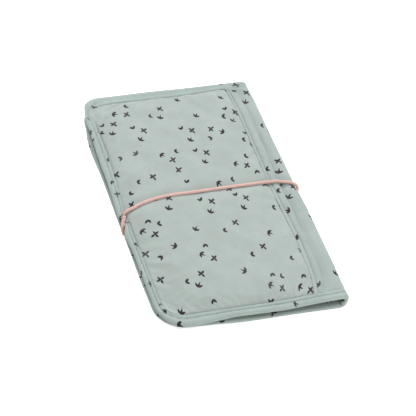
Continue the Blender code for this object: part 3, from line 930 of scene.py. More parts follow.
def build_seam_band():
    count = 190
    y = np.linspace(-SEAM_Y - 0.6, SEAM_Y + 0.4, count)[:, None]
    start, end = BAND_X0 - 0.25, BAND_X1 + 0.25
    # band's cross-section: x, height over the seam
    x, rise = np.array([
        (start, -0.55), (start + 0.15, -0.12), (start + 0.5, 0.16), (start + 1.0, 0.30),
        ((start + end) / 2, 0.36), (end - 1.0, 0.30), (end - 0.5, 0.16), (end - 0.15, -0.12),
        (end, -0.55), (end - 0.8, -0.95), (start + 0.8, -0.95),
    ]).T
    lift = 0.07 * np.sin(y * math.tau / 7.1 + 1.1 * np.sin(y / 17.0))
    rings = stack(x + corner_pull(y), y, seam_z(x, y) + rise + np.where(rise > 0, lift, 0))
    obj = sweep("front_seam_band_cloth", rings, stack(x + 9.0, y + 4.0), PRINT, warp="front")
    attach(obj, "front_cover", "printed_outer_fabric", "front_seam_band")


# ------------------------------------------------------------- bindings
# binding cross-section: inset from the edge, height over the edge's mid-height
BINDING = np.array([
    (9.05, 0.55), (8.95, 1.15), (8.55, 1.52), (7.9, 1.72), (7.1, 1.76), (6.4, 1.58),
    (5.95, 1.22), (5.6, 1.02), (5.25, 1.22), (4.7, 1.60), (3.8, 1.88), (2.9, 1.96),
    (2.0, 1.82), (1.2, 1.46), (0.55, 0.92), (0.12, 0.30), (0.0, -0.15), (0.18, -0.72),
    (0.7, -1.28), (1.5, -1.62), (2.6, -1.72), (4.0, -1.68), (5.6, -1.60), (6.2, -1.42),
    (6.7, -1.62), (7.2, -1.60), (7.5, -1.30), (7.4, -0.85), (5.6, -1.05), (3.6, -1.15),
    (1.9, -1.05), (1.05, -0.6), (0.8, -0.1), (1.05, 0.45), (1.9, 1.05), (3.2, 1.25),
    (4.7, 1.0), (5.6, 0.55), (6.5, 1.0), (7.8, 1.1), (8.5, 0.6),
])
BIND_INSET, BIND_RISE = BINDING.T
BIND_ARC = running_length(BINDING)
BACK_SCALE = 0.86                       # the back binding is flatter than the front one


def bias_flat(run):
    """Flat coordinates of tape cut on the bias."""
    return 0.7071 * stack(run - BIND_ARC, run + BIND_ARC)


def edge_path(edge_x, edge_y, low_radius, high_radius, end_x, pitch):
    """Stations round three edges with rounded fore corners: points, inward normals."""
    points, normals = [], []

    def line(start, end, normal):
        count = max(2, int(math.dist(start, end) / pitch))
        points.extend(np.linspace(start, end, count, endpoint=False))
        normals.extend([normal] * count)

    def quarter(centre, radius, start):
        count = max(6, int(math.pi / 2 * radius / pitch * 1.6))
        angle = np.radians(np.linspace(start, start + 90, count, endpoint=False))
        outward = stack(np.cos(angle), np.sin(angle))
        points.extend(centre + radius * outward)
        normals.extend(-outward)

    high_x, high_y = edge_x + high_radius, edge_y - high_radius
    low_x, low_y = edge_x + low_radius, -edge_y + low_radius
    line((end_x, edge_y), (high_x, edge_y), (0.0, -1.0))
    quarter((high_x, high_y), high_radius, 90)
    line((edge_x, high_y), (edge_x, low_y), (1.0, 0.0))
    quarter((low_x, low_y), low_radius, 180)
    line((low_x, -edge_y), (end_x, -edge_y), (0.0, 1.0))
    points.append((end_x, -edge_y))
    normals.append((0.0, 1.0))
    return np.array(points), np.array(normals)


PATH_PITCH = 2.1
Cover = namedtuple("Cover", "height points normals body warp")
FRONT, BACK = (
    Cover(
        height, *edge_path(edge_x, EDGE_Y, CORNER_LOW, CORNER_HIGH, END_X, PATH_PITCH),
        side + "_cover", side,
    )
    for side, height, edge_x in (("front", edge_z, EDGE_X), ("back", back_edge_z, BACK_EDGE_X))
)


def tape_ripple(run, seed):
    """Small irregularities of a hand-fed bias tape."""
    drift = np.sin(run / 13.0 + seed)
    ripple = 0.15 * np.sin((run + 0.9 * BIND_INSET) * math.tau / 6.9 + 1.9 * drift)
    slow = 0.16 * np.sin(run / 23.0 + seed) + 0.12 * np.sin(run / 9.7 + 2.0 * seed)
    near_stitch = np.exp(-(((BIND_INSET - 5.6) / 2.0) ** 2))
    strength = np.where(BIND_RISE > 0, 1.0, 0.5)
    return strength * (
        ripple * (0.25 + near_stitch * 0.8) + 0.6 * slow * np.minimum(1.0, BIND_INSET / 2.0)
    )


def high_edge_fill(x, y):
    """Along the high edge the tape's two ridges run into one."""
    return 0.75 * ease((y - 118.0) / 10.0) * ease((x + 66.0) / 14.0)


def back_gain(x):
    """The back cover's edge is fuller towards the spine."""
    return 1.0 + 0.30 * ease((x + 5.0) / 80.0)


def build_binding(name, cover, flip, seed, node):
    """The tape round a cover's three edges; flip is the Z side its outer ridges face."""
    run = running_length(cover.points)[:, None]
    path_x, path_y = cover.points.T[..., None]
    normal_x, normal_y = cover.normals.T[..., None]
    fade = np.minimum(1.0, np.minimum(run, run[-1] - run) / 14.0)
    wander = 0.28 * np.sin(run / 29.0 + seed) + 0.16 * np.sin(run / 11.0 + 2.3 * seed)
    inset = BIND_INSET + wander * fade * np.maximum(0.0, 1 - BIND_INSET / 5.0)
    x, y = path_x + normal_x * inset, path_y + normal_y * inset
    rise = BIND_RISE
    if flip > 0:
        groove = (BIND_RISE > 0.9) & (BIND_INSET > 4.0) & (BIND_INSET < 8.0)
        rise = rise + groove * high_edge_fill(path_x, path_y) * (1.62 - rise)
    rise = rise + np.where(BIND_INSET > 0.8, tape_ripple(run, seed) * fade, 0.0)
    if flip > 0:
        z = cover.height(x, y) + rise
    else:
        rise = rise * np.where(BIND_RISE < 0, back_gain(x), 1.0)
        z = np.maximum(cover.height(x, y) - rise * BACK_SCALE, 0.03)
    obj = sweep(name, stack(x, y, z), bias_flat(run), TAPE, warp=cover.warp)
    attach(obj, cover.body, "binding_tape", node)


def fold_arc(start, end, centre_z, tall):
    """Quarter ellipse at a cover's end: rows of x, z and outward normal x, z."""
    wide = 3.8
    angle = np.radians(np.linspace(start, end, 15))
    cos, sin = np.cos(angle), np.sin(angle)
    normal = unit(stack(cos / wide, sin / tall))
    return np.column_stack([END_X + wide * cos, centre_z + tall * sin, normal])


# the binding's mid-line round the fold, in two halves that meet at the spine's middle
FOLD_MIDDLE = (END_X + 3.8, FOLD_MID_Z, 1.0, 0.0)
FOLD_UP = np.vstack([fold_arc(90, 0, SPINE_EDGE_Z - 3.2, 3.2), FOLD_MIDDLE])
FOLD_LOW = np.vstack([FOLD_MIDDLE, fold_arc(0, -90, BACK_SPINE_Z + 5.6, 5.6)])
# motions of the two halves: bodies, and the points between which one takes over
_middle = (77.6 * MM, 0, FOLD_MID_Z * MM)
UPPER_FOLD = ("front_cover", "spine", (END_X * MM, 0, 11.7 * MM), _middle)
LOWER_FOLD = ("spine", "back_cover", _middle, (END_X * MM, 0, 5.5 * MM))


def build_fold_binding(name, side, upper, seed, *nodes):
    """The binding carried round one half of the fold at one short end."""
    stations = FOLD_UP if upper else FOLD_LOW
    x, z, normal_x, normal_z = stations.T[..., None]
    run = running_length(stations[:, :2])[:, None]
    share = np.arange(len(stations))[:, None] / (len(stations) - 1)
    if upper:
        outer, inner = 1.0, 1.0 + 0.3 * share
    else:
        outer = 1.0 + (BACK_SCALE - 1.0) * share
        inner = 1.3 + (BACK_SCALE * back_gain(END_X) - 1.3) * share
        inner = inner * (1.0 + 0.85 * np.sin(math.pi * share) ** 1.3)
    crumple = np.sin(share * math.pi * 3 + BIND_INSET * 0.5 + seed)
    rise = BIND_RISE * np.where(BIND_RISE > 0, outer, inner)
    rise = rise + 0.18 * crumple * np.sin(math.pi * share)
    rings = stack(x + normal_x * rise, side * (EDGE_Y - BIND_INSET), z + normal_z * rise)
    obj = sweep(name, rings, bias_flat(run + 500), TAPE, warp="fold")
    attach(obj, UPPER_FOLD if upper else LOWER_FOLD, "binding_tape", *nodes)


# ------------------------------------------------------------- stitches
# one stitch: share of its length, share of its radius, height
STITCH = np.array([
    (0.0, 0.35, -0.35), (0.1, 0.85, -0.12), (0.3, 1.0, 0.0), (0.5, 1.0, 0.04),
    (0.7, 1.0, 0.0), (0.9, 0.85, -0.12), (1.0, 0.35, -0.35),
])


def stitches(name, lines, material, flip=1, radius=0.24, pitch=2.7, length=2.0, sink=0.1):
    """Separate closed capsules lying along each line; flip is the Z side they face."""
    share, width, height = STITCH.T
    sides = 6
    angle = math.tau * np.arange(sides) / sides
    up = np.array((0.0, 0.0, flip))
    tubes, flats = [], []
    for line in lines:
        run = running_length(line)

        def at(place):
            return stack(*(np.interp(place, run, line[:, k]) for k in range(3)))

        starts = 0.4 + pitch * np.arange(int((run[-1] - 0.5) / pitch))
        place = starts[:, None] + length * share
        centre = at(place)
        side = unit(np.cross(unit(at(place + 0.05) - centre), up))
        centre = centre + up * (height * 0.7 - sink)[:, None]
        around = np.cos(angle)[:, None] * side[:, :, None] + np.sin(angle)[:, None] * up
        tubes.append(centre[:, :, None] + radius * width[:, None, None] * around)
        flats.append(stack(place[..., None], angle * radius))
    tubes = np.concatenate(tubes)
    rows = len(STITCH)
    faces = [
        face for i in range(len(tubes)) for face in tube_faces(rows, sides, i * rows * sides)
    ]
    coords = np.concatenate(flats).reshape(-1, 2)
    return make(name, tubes.reshape(-1, 3), faces, coords, material)


def build_edge_stitches(name, cover, inset, rise, flip, node):
    x, y = (cover.points + cover.normals * inset).T
    line = warped(stack(x, y, cover.height(x, y) + flip * rise), cover.warp)
    attach(stitches(name, [line], THREAD, flip), cover.body, "thread", node)


def build_band_stitches(name, x, rise, node):
    y = np.linspace(-SEAM_Y + 0.5, SEAM_Y - 0.2, 160)
    line = warped(stack(x + corner_pull(y), y, seam_z(x, y) + rise), "front")
    attach(stitches(name, [line], SEAM_THREAD), "front_cover", "thread", node)


# ------------------------------------------------------------- cloth round the fold
def fold_pinch(y):
    return 0.9 * np.exp(-(((y - PINCH_Y) / 7.0) ** 2))


def fold_tuck(y):
    return 0.9 * np.exp(-np.maximum(0.0, CLOTH_HALF - np.abs(y)) / 0.8)


def fold_rows(line):
    """Rows after the first, as columns: number, share of the way, x, z and normal."""
    number = np.arange(1, len(line))[:, None]
    share = np.minimum(1.0, number / (len(line) - 2))
    return (number, share, *line[1:].T[..., None])


def build_spine_strip():
    """Printed cloth from the seam band over the fold to the middle of the spine."""
    y = np.linspace(-CLOTH_HALF, CLOTH_HALF, 170)[None, :]
    first = BAND_X1 + 0.30
    x = np.concatenate([[first, first + 0.15, first + 0.4], np.linspace(first + 0.8, END_X, 26)])
    x = x[:, None]
    tuck = fold_tuck(y)
    z = strip_z(x, y) - (0.38 * np.exp(-((x - first) / 0.6)) + tuck)
    on_cover = stack(x + corner_pull(y) * (END_X - x) / (END_X - first), y, z)

    number, share, fold_x, fold_z, normal_x, normal_z = fold_rows(FOLD_UP)
    pinch = fold_pinch(y)
    swell = 0.14 * waves(y, 0 * y, 21, 70.0)
    off = 1.55 + 0.2 * (1 - share) + swell * share
    off = off - pinch * share - 0.5 * pinch * (1 - share) - tuck
    drop = (strip_z(END_X, y) + tuck - (SPINE_EDGE_Z + 1.75)) * (1 - share)
    on_fold = stack(fold_x + normal_x * off, y, fold_z + normal_z * off + drop * normal_z)

    outer = np.concatenate([on_cover, on_fold])
    normal = np.concatenate([stack(0 * x, 0.0, 1.0), stack(normal_x, 0.0, normal_z)])
    fold_flat = END_X + 8.7 * number / (len(FOLD_UP) - 1) * 1.3
    flat = np.concatenate([stack(x, y), stack(fold_flat, y)])
    obj = shell("front_spine_wrap", outer, outer - normal * 0.7, flat, PRINT_STRIP, "fold")
    # painted shade along the strip's crease valley, kept in the crease attribute
    away = flat[..., 0] - strip_valley(flat[..., 1]) + 1.0
    crease_shade_share = np.exp(-np.abs(away / 1.5) ** 1.6) + 0.35 * np.exp(-((away / 4.0) ** 2))
    crease_shade_share = np.concatenate([crease_shade_share.ravel(), crease_shade_share.ravel()]).astype(np.float32)
    obj.data.attributes.new("crease", "FLOAT", "POINT").data.foreach_set("value", crease_shade_share)
    attach(
        obj, UPPER_FOLD, "printed_outer_fabric", "front_spine_strip", "spine_outer_fabric"
    )


def cord_low_y(x):
    """Y of the cord's run under the pad."""
    return CORD_FORE_Y + (x + 80.0) * (CORD_SPINE_Y - CORD_FORE_Y) / 160.0


def back_groove(x, y):
    """How far the lower run of the cord presses into the back cover."""
    return 2.95 * np.exp(-((np.abs(y - cord_low_y(x)) / 2.25) ** 3.0))


def build_back_outer():
    """Printed underside of the back cover, carried up to the middle of the spine."""
    left = BACK_EDGE_X + INSET
    x, y = bound_grid(
        left, END_X, CLOTH_HALF, corners=(CORNER_LOW - INSET, 5.5),
        size=((70, 190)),
    )
    rim = np.minimum(x - left, CLOTH_HALF - np.abs(y))
    z = 0.06 + 0.75 * np.exp(-np.clip(rim, 0, None) / 0.9)
    z = z + 0.1 * (1 + waves(x, y, 33, 40.0)) * 0.5 + back_groove(x, y)

    # from the cover's end up to the middle
    number, share, fold_x, fold_z, normal_x, normal_z = fold_rows(FOLD_LOW[::-1])
    end_y = y[-1]
    swell = 0.12 * waves(end_y, 0 * end_y, 21, 70.0)
    off = 1.66 - 0.11 * share + (swell - fold_pinch(end_y)) * share - fold_tuck(end_y)
    base = z[-1] - 0.09
    on_fold = stack(
        fold_x + normal_x * off, end_y,
        fold_z + normal_z * off - base * normal_z * (1 - share),
    )
    outer = np.concatenate([stack(x, y, z), on_fold])
    normal = np.concatenate([stack(0 * x[:, :1], 0.0, -1.0), stack(normal_x, 0.0, normal_z)])
    flat = np.concatenate([stack(x, y), stack(END_X + 0.75 * number, end_y)])
    obj = shell("back_outer_cloth", outer, outer - normal * 0.65, flat, PRINT_BACK, "fold")
    attach(obj, LOWER_FOLD, "printed_outer_fabric", "back_outer_fabric")


# ------------------------------------------------------------- linings and padding
def lining_face(x, y, edge_x, seam, layer_z, fade):
    """Inner face of a lining: at its seam height by the edge, then at its layer."""
    rim = np.minimum(x - edge_x, EDGE_Y - np.abs(y))
    return seam + (layer(x, y, layer_z) - seam) * ease((rim - 7.0) / fade)


def front_under(x, y):
    return lining_face(x, y, EDGE_X, edge_z(x, y) - 1.55, layer_z=12.15, fade=4.0)


def back_upper(x, y):
    return lining_face(x, y, BACK_EDGE_X, back_edge_z(x, y) + 1.5, layer_z=5.5, fade=5.0)


def build_lining(name, upper, *nodes):
    """A cover's lining, carried round the inner side of the fold to its middle."""
    side = 1 if upper else -1
    half = EDGE_Y - 7.3
    left = EDGE_X + (7.3 if upper else 6.5)
    x, y = bound_grid(
        left, END_X - 0.8, half, corners=(CORNER_LOW - 7.3, 5.2),
        size=((60, 120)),
    )
    rim = np.clip(np.minimum(x - left, half - np.abs(y)), 0, None)
    pucker = 0.10 * waves(x, y, 51 if upper else 57, 17.0) * (0.4 + np.exp(-rim / 14.0))
    # both linings are loose: shallow soft dimples, kept clear of what lies between them
    face = front_under(x, y) if upper else back_upper(x, y)
    face = face + side * (0.12 + np.abs(pucker) - 0.5 * np.exp(-rim / 0.8))

    angle = np.radians(np.append(90 - 90 * np.arange(1, 9) / 8, 0.0))[:, None]
    centre_z, target = (10.0, 11.7) if upper else (6.6, 4.9)
    tip_z = centre_z + side * 1.7 * np.sin(angle)
    tip_z[-1] = FOLD_MID_Z
    fade = 1 - np.arange(1, 10)[:, None] / 9
    tip_z = tip_z + (face[-1] - target) * fade * fade
    grid = np.concatenate([stack(x, y, face), stack(END_X + 1.9 * np.cos(angle), y[-1], tip_z)])
    normal = np.concatenate([
        stack(0 * x[:, :1], 0.0, float(side)), stack(np.cos(angle), 0.0, side * np.sin(angle))
    ])
    other = grid + normal * 0.5
    drop = np.abs(grid[..., 2] - grid[:1, :, 2])
    flat = stack(grid[..., 0] + drop * 0.3, grid[..., 1])
    if upper:
        obj = shell(name, other, grid, flat, LINING, warp="front_lining")
    else:
        obj = shell(name, grid, other, flat, LINING, warp="back_lining")
    attach(obj, UPPER_FOLD if upper else LOWER_FOLD, "wipe_clean_lining", *nodes)


def build_foam(name, upper, node, body):
    margin = 2.6
    x, y = bound_grid(
        EDGE_X + margin, END_X - 1.2, EDGE_Y - margin,
        corners=(CORNER_LOW - margin, CORNER_HIGH - margin), size=(40, 70),
    )
    rim = np.clip(np.minimum(x - EDGE_X - margin, EDGE_Y - margin - np.abs(y)), 0, None)
    # heights at the thin edge, and inside it
    if upper:
        edge = edge_z(x, y)
        sunk = np.minimum.reduce([strip_z(x + d, y) for d in (-4.0, -2.0, 0.0, 2.0, 4.0)])
        roof = top_z(x, y)
        roof = np.where(x > BAND_X0 - 3.0, np.minimum(roof - 0.1, sunk + 0.55), roof)
        by_seam = np.exp(-np.clip(SEAM_Y - np.abs(y), 0, None) / 2.5)
        roof = roof - 1.3 * by_seam * ease((x - 40.0) / 15.0)
        edge_high, high = edge + 0.45, roof - 1.5
        edge_low, low = edge - 0.6, front_under(x, y) + 0.95
    else:
        edge = back_edge_z(x, y)
        edge_high, high = edge + 0.5, back_upper(x, y) - 0.95
        edge_low, low = edge - 0.5, 1.05 + back_groove(x, y)
    share = ease((rim - 4.5) / 5.0)
    high = edge_high + (high - edge_high) * share
    low = edge_low + (low - edge_low) * share
    middle = (high + low) / 2
    half = np.maximum(high - low, 0.3) * (1 - 0.6 * np.exp(-rim / 0.7)) / 2
    obj = shell(
        name, stack(x, y, middle + half), stack(x, y, middle - half), stack(x, y), FOAM,
        warp="front" if upper else "back",
    )
    attach(obj, body, "foam", node)


def build_spine_foam():
    count = 60
    y = np.linspace(-(EDGE_Y - 2.0), EDGE_Y - 2.0, count)[:, None]
    # cross-section of the filling: x, z
    x, z = np.array([
        (78.35, 5.2), (78.6, 4.7), (79.5, 4.6), (80.15, 5.0), (80.2, 8.2), (80.15, 11.0),
        (79.5, 11.6), (78.6, 11.5), (78.35, 11.0), (78.3, 8.2),
    ]).T
    centre_x, centre_z = 79.2, 8.2
    taper = np.ones((count, 1))
    taper[[0, -1]] = 0.7
    ring_x = centre_x + (x - centre_x) * taper + spine_bulge(y)
    ring_x = ring_x - np.where(x > 79.3, fold_pinch(y), 0.0)
    rings = stack(ring_x, y, centre_z + (z - centre_z) * taper)
    attach(sweep("spine_filling", rings, stack(z, y), FOAM), "spine", "foam", "spine_foam")


# ------------------------------------------------------------- pocket
def pocket_gather(x):
    return 0.10 * np.sin(x * math.tau / 6.1 + 1.5 * np.sin(x / 9.0))


def build_pocket():
    """Pocket under the front cover's lining, with a hem along its +Y mouth."""
    low, high = cad_box("pocket_panel")
    x0, x1, y0, y1 = low[0], high[0] - 1.0, low[1], high[1]
    x, y = np.meshgrid(np.linspace(x0, x1, 48), np.linspace(y0, y1, 64), indexing="ij")
    rim = np.minimum(np.minimum(x - x0, x1 - x), y - y0)
    sag = 0.25 * ease(rim / 6.0) + 0.12 * waves(x, y, 91, 24.0) * ease(rim / 5.0)
    z = front_under(x, y) - 0.20 - 0.45 - np.clip(sag, 0, 0.45)
    z = z + pocket_gather(x) * np.exp(-(y1 - y) / 26.0)
    obj = shell(
        "pocket_cloth_panel", stack(x, y, z + 0.4), stack(x, y, z), stack(x, y), POCKET
    )
    attach(obj, "front_cover", "pocket_fabric", "pocket_panel")

    # hem's cross-section: distance past the mouth, height
    across, rise = np.array([
        (0.0, 0.25), (0.3, 0.02), (1.2, -0.22), (4.0, -0.3), (6.8, -0.22), (7.7, 0.02),
        (8.0, 0.3), (7.4, 0.48), (4.0, 0.5), (0.6, 0.48),
    ]).T
    x = np.linspace(x0, x1, 110)[:, None]
    y = y1 + 0.2 + across
    rings = stack(x, y, front_under(x, y) - 0.85 + rise + pocket_gather(x))
    flat = stack(x * 0.7 - across, x * 0.7 + across)
    hem = sweep("pocket_hem_band", rings, flat, MAT_TAPE)
    attach(hem, "front_cover", "binding_tape", "pocket_hem")


# ------------------------------------------------------------- fold-out mat
def build_mat(body, layers, x0, x1, corner, seed):
    """One padded mat panel, quilted across every 80 mm."""
    y_half = MAT_HALF_Y - 3.0
    x, y = bound_grid(
        x0, x1, y_half, corners=(corner, corner), size=((52, 130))
    )
    rim = np.clip(np.minimum(np.minimum(x - x0, x1 - x), y_half - np.abs(y)), 0, None)
    low, high = (layer(x, y, z) for z in layers)
    puff = 1 - 0.42 * np.exp(-rim / 3.0)
    quilt = np.exp(-(((np.mod(y + 40.0, 80.0) - 40.0) / 1.7) ** 2)) * ease(rim / 6.0)
    middle, half = (low + high) / 2, (high - low) / 2 * puff * (1 - 0.45 * quilt)
    middle = middle + 0.05 * waves(x, y, seed, 14.0) * np.exp(-rim / 9.0)
    top, under = stack(x, y, middle + half - 0.05), stack(x, y, middle - half + 0.05)
    obj = shell(body + "_pad", top, under, stack(x, y), MAT)
    attach(obj, body, "mat_fabric", body + "_cover", body + "_foam")


def build_mat_tape(name, points, normals, layers, body, node):
    """Folded tape along the edge of a mat panel."""
    width = 5.0
    # cross-section: share of the width, share of half the thickness
    inset, rise = np.array([
        (1, 0.62), (0.8, 1.0), (0.45, 1.08), (0.16, 0.9), (0, 0.0), (0.16, -0.9),
        (0.45, -1.08), (0.8, -1.0), (1, -0.62), (0.6, -0.4), (0.25, 0.0), (0.6, 0.4),
    ]).T
    run = running_length(points)[:, None]
    path_x, path_y = points.T[..., None]
    normal_x, normal_y = normals.T[..., None]
    x, y = path_x + normal_x * inset * width, path_y + normal_y * inset * width
    low, high = (layer(x, y, z) for z in layers)
    wobble = 1 + 0.05 * np.sin(run * math.tau / 5.3)
    z = (low + high) / 2 + rise * (high - low) / 2 * 0.9 * wobble
    flat = stack(run, np.arange(len(inset)) * 1.1)
    attach(sweep(name, stack(x, y, z), flat, MAT_TAPE), body, "binding_tape", node)


def build_mat_hinge(name, bodies, layers, facing, node):
    """Cloth hinge between two panels: a narrow strip turned round the fold line, sewn
    to the two layer heights.  It bulges towards -X where facing is 1."""
    low, high = cad_box(node)
    axis_x, _, axis_z = (low + high) / 2
    sewn_x = axis_x + facing * 1.6
    y = np.linspace(-(MAT_HALF_Y - 1.0), MAT_HALF_Y - 1.0, 90)
    count = 15
    low_z, high_z = (layer(sewn_x, y, z) for z in layers)
    half_z = np.maximum((high_z - low_z) / 2, 0.25)
    angle = np.linspace(0, math.pi, count)[:, None]
    middle = stack(
        sewn_x - facing * 1.5 * np.sin(angle), y, (low_z + high_z) / 2 - half_z * np.cos(angle)
    )
    half = 0.2 * stack(-facing * np.sin(angle), 0.0, -np.cos(angle))
    flat = stack(np.linspace(0, 5, count)[:, None], y)
    obj = shell(name, middle + half, middle - half, flat, MAT_TAPE)
    span = [(axis_x * MM, 0, (axis_z + rise) * MM) for rise in (-0.9, 0.9)]
    attach(obj, (*bodies, *span), "binding_tape", node)


def build_mats():
    inner_low, inner_high = cad_box("mat_inner_cover")
    outer_low, outer_high = cad_box("mat_outer_binding")
    build_mat("mat_inner", INNER_LAYER, inner_low[0], inner_high[0], corner=0.8, seed=61)
    build_mat("mat_outer", OUTER_LAYER, outer_low[0] + 3.0, outer_high[0], corner=6.0, seed=67)
    x = np.linspace(inner_low[0], inner_high[0], 40)
    for side, end in ((1.0, "top"), (-1.0, "bottom")):
        build_mat_tape(
            "mat_inner_tape_" + end, stack(x, side * MAT_HALF_Y), stack(0 * x, -side),
            INNER_LAYER, "mat_inner", "mat_inner_binding_" + end,
        )
    path = edge_path(outer_low[0], MAT_HALF_Y, 8.0, 8.0, outer_high[0], pitch=3.0)
    build_mat_tape("mat_outer_tape", *path, OUTER_LAYER, "mat_outer", "mat_outer_binding")
    build_mat_hinge(
        "mat_hinge_cloth_inner", ("back_cover", "mat_inner"), (5.75, 7.1), 1,
        "mat_fold_welt_inner",
    )
    build_mat_hinge(
        "mat_hinge_cloth_outer", ("mat_inner", "mat_outer"), (7.1, 9.6), -1,
        "mat_fold_welt_outer",
    )


# ------------------------------------------------------------- elastic cord
def surface_top(x, y):
    """Visible top surface under the cord, cover edge included."""
    x, y = unwarp_front(x, y)
    inset = x - EDGE_X
    if inset < INSET:
        return edge_z(x, y) + np.interp(
            inset,
            [-1.0, 0.0, 1.2, 2.9, 4.7, 5.6, 7.1, 9.0],
            [-1.5, -0.4, 1.4, 1.95, 1.6, 1.05, 1.7, 1.4],
        )
    if x > BAND_X0:
        return strip_z(min(x, END_X), y)
    return top_z(x, y)


def cord_points():
    """The cord's course: out of the hole, over the front cover, round the fold, back
    under the pad, up round the fore edge and into the hole again."""
    hole_z = surface_top(HOLE_X, HOLE_Y)
    points = [
        (HOLE_X - 0.5, HOLE_Y + 1.35, hole_z - 2.1),
        (HOLE_X - 0.3, HOLE_Y + 1.4, hole_z - 0.7),
        (HOLE_X + 0.8, HOLE_Y + 1.7, hole_z + 0.8),
    ]
    over = np.linspace(HOLE_X + 3.6, END_X - 1.5, 30)
    raw = [max(surface_top(x + d, cord_y(x)) for d in (-1.5, 0.0, 1.5)) for x in over]
    kernel = np.array([1, 3, 5, 6, 5, 3, 1]) / 24.0
    soft = np.convolve(np.pad(raw, 3, mode="edge"), kernel, mode="valid")
    for x, z in zip(over, np.maximum(soft, np.array(raw) - 0.15)):
        share = ease((x - HOLE_X) / 12.0)
        y = (HOLE_Y + 2.3) * (1 - share) + cord_y(x) * share
        points.append((x, y, z + CORD_RADIUS * 0.88))
    top = points[-1][2]
    side = SPINE_X + spine_bulge(-5.0) - 0.95 + CORD_RADIUS
    # round the fold: share of the way out to the side, height, y
    start = END_X - 0.4
    for share, z, y in (
        (0.42, top - 0.15, -4.6), (0.72, top - 0.95, -5.6), (0.90, top - 2.3, -6.5),
        (0.97, top - 4.2, -7.2), (0.98, top - 7.0, -7.9),
    ):
        points.append((start + (side - start) * share, y, z))
    start = END_X - 0.6
    for share, z, y in ((0.94, 6.0, -8.2), (0.82, 3.9, -8.3), (0.5, 2.2, -8.3), (0.0, 1.55, -8.2)):
        points.append((start + (side - start) * share, y, z))
    points += [(x, cord_low_y(x), 1.48) for x in np.linspace(69.0, -76.0, 14)]
    fore = edge_z(EDGE_X, -24.0)
    points += [
        (-78.2, -25.6, 1.6),
        (-79.4, -24.8, 2.5),
        (-79.9, -23.8, 4.0),
        (-80.15, -22.5, fore - 2.1),
        (-80.0, -21.2, fore - 0.5),
        (-79.5, -19.8, fore + 0.8),
        (-78.8, -18.0, fore + 1.8),
        (-77.7, -16.0, fore + 2.25),
        (HOLE_X - 0.9, HOLE_Y - 3.2, hole_z + 0.75),
        (HOLE_X - 0.6, HOLE_Y - 1.9, hole_z - 0.1),
        (HOLE_X - 0.5, HOLE_Y - 1.5, hole_z - 1.1),
        (HOLE_X - 0.5, HOLE_Y - 1.4, hole_z - 2.2),
    ]
    points = np.array(points)
    points[:, 2] = np.maximum(points[:, 2], 1.48)
    return points


def smooth_path(points, per):
    """Centripetal Catmull-Rom curve with per steps between neighbours."""
    before, after = 2 * points[0] - points[1], 2 * points[-1] - points[-2]
    padded = np.concatenate([[before], points, [after]])
    out = []
    for i in range(1, len(padded) - 2):
        four = padded[i - 1 : i + 3]
        gaps = np.linalg.norm(np.diff(four, axis=0), axis=1) ** 0.5
        knots = np.concatenate([[0.0], np.cumsum(gaps)])
        spans = ((knots[:3], knots[1:]), (knots[:2], knots[2:]), (knots[1:2], knots[2:3]))
        for step in np.linspace(0, 1, per, endpoint=False):
            here = knots[1] + (knots[2] - knots[1]) * step
            rows = four
            for low, high in spans:
                share = ((here - low) / (high - low))[:, None]
                rows = rows[:-1] * (1 - share) + rows[1:] * share
            out.append(rows[0])
    out.append(points[-1])
    return np.array(out)


def tube_rings(path, radius, sides=14):
    """Rings of a round tube, with a frame carried along so that it doesn't twist."""
    tangents = unit(np.gradient(path, axis=0))
    side = unit(np.cross(tangents[0], (0.0, 0.0, 1.0)))
    angle = math.tau * np.arange(sides)[:, None] / sides
    rings = []
    for point, tangent in zip(path, tangents):
        side = unit(side - tangent * (side @ tangent))
        up = np.cross(side, tangent)
        rings.append(point + radius * (np.cos(angle) * side + np.sin(angle) * up))
    flat = stack(running_length(path)[:, None], np.arange(sides) / sides)
    return np.array(rings), flat


def build_cord():
    path = smooth_path(cord_points(), 6)
    path[:, 2] = np.maximum(path[:, 2], 1.46)
    obj = sweep("elastic_cord_braid", *tube_rings(path, CORD_RADIUS), CORD)
    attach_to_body(obj, "front_cover")
    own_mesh(obj)
    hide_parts("elastic_cord")


def build_cord_stitches():
    """Whipped eyelet round the cord's hole, and the bartack under it."""
    z = surface_top(HOLE_X, HOLE_Y)
    angle = math.tau * np.arange(29) / 28
    loop = stack(HOLE_X + 1.6 * np.cos(angle), HOLE_Y + 3.0 * np.sin(angle), z - 0.3)
    eyelet = stitches(
        "cord_eyelet_stitches", [loop], THREAD, radius=0.3, pitch=0.8, length=0.7, sink=-0.1
    )
    attach(eyelet, "front_cover", "thread")
    rows = [
        np.array([(HOLE_X - 1.2 + 0.4 * k, HOLE_Y + end, z - 2.2) for end in (-2.6, 2.6)])
        for k in range(7)
    ]
    tack = stitches(
        "elastic_bartack_stitches", rows, THREAD, radius=0.2, pitch=4.6, length=4.2, sink=0.0
    )
    attach(tack, "front_cover", "thread", "elastic_bartack")


# ------------------------------------------------------------- put it together
build_main_panel()
build_seam_band()
build_spine_strip()
build_binding("front_binding_tape", FRONT, 1, 1.3, "front_binding")
build_binding("back_binding_tape", BACK, -1, 4.1, "back_binding")
build_fold_binding("fold_binding_top_upper", 1, True, 2.0, "spine_binding_top")
build_fold_binding("fold_binding_bottom_upper", -1, True, 2.6, "spine_binding_bottom")
build_fold_binding("fold_binding_top_lower", 1, False, 2.0)
build_fold_binding("fold_binding_bottom_lower", -1, False, 2.6)
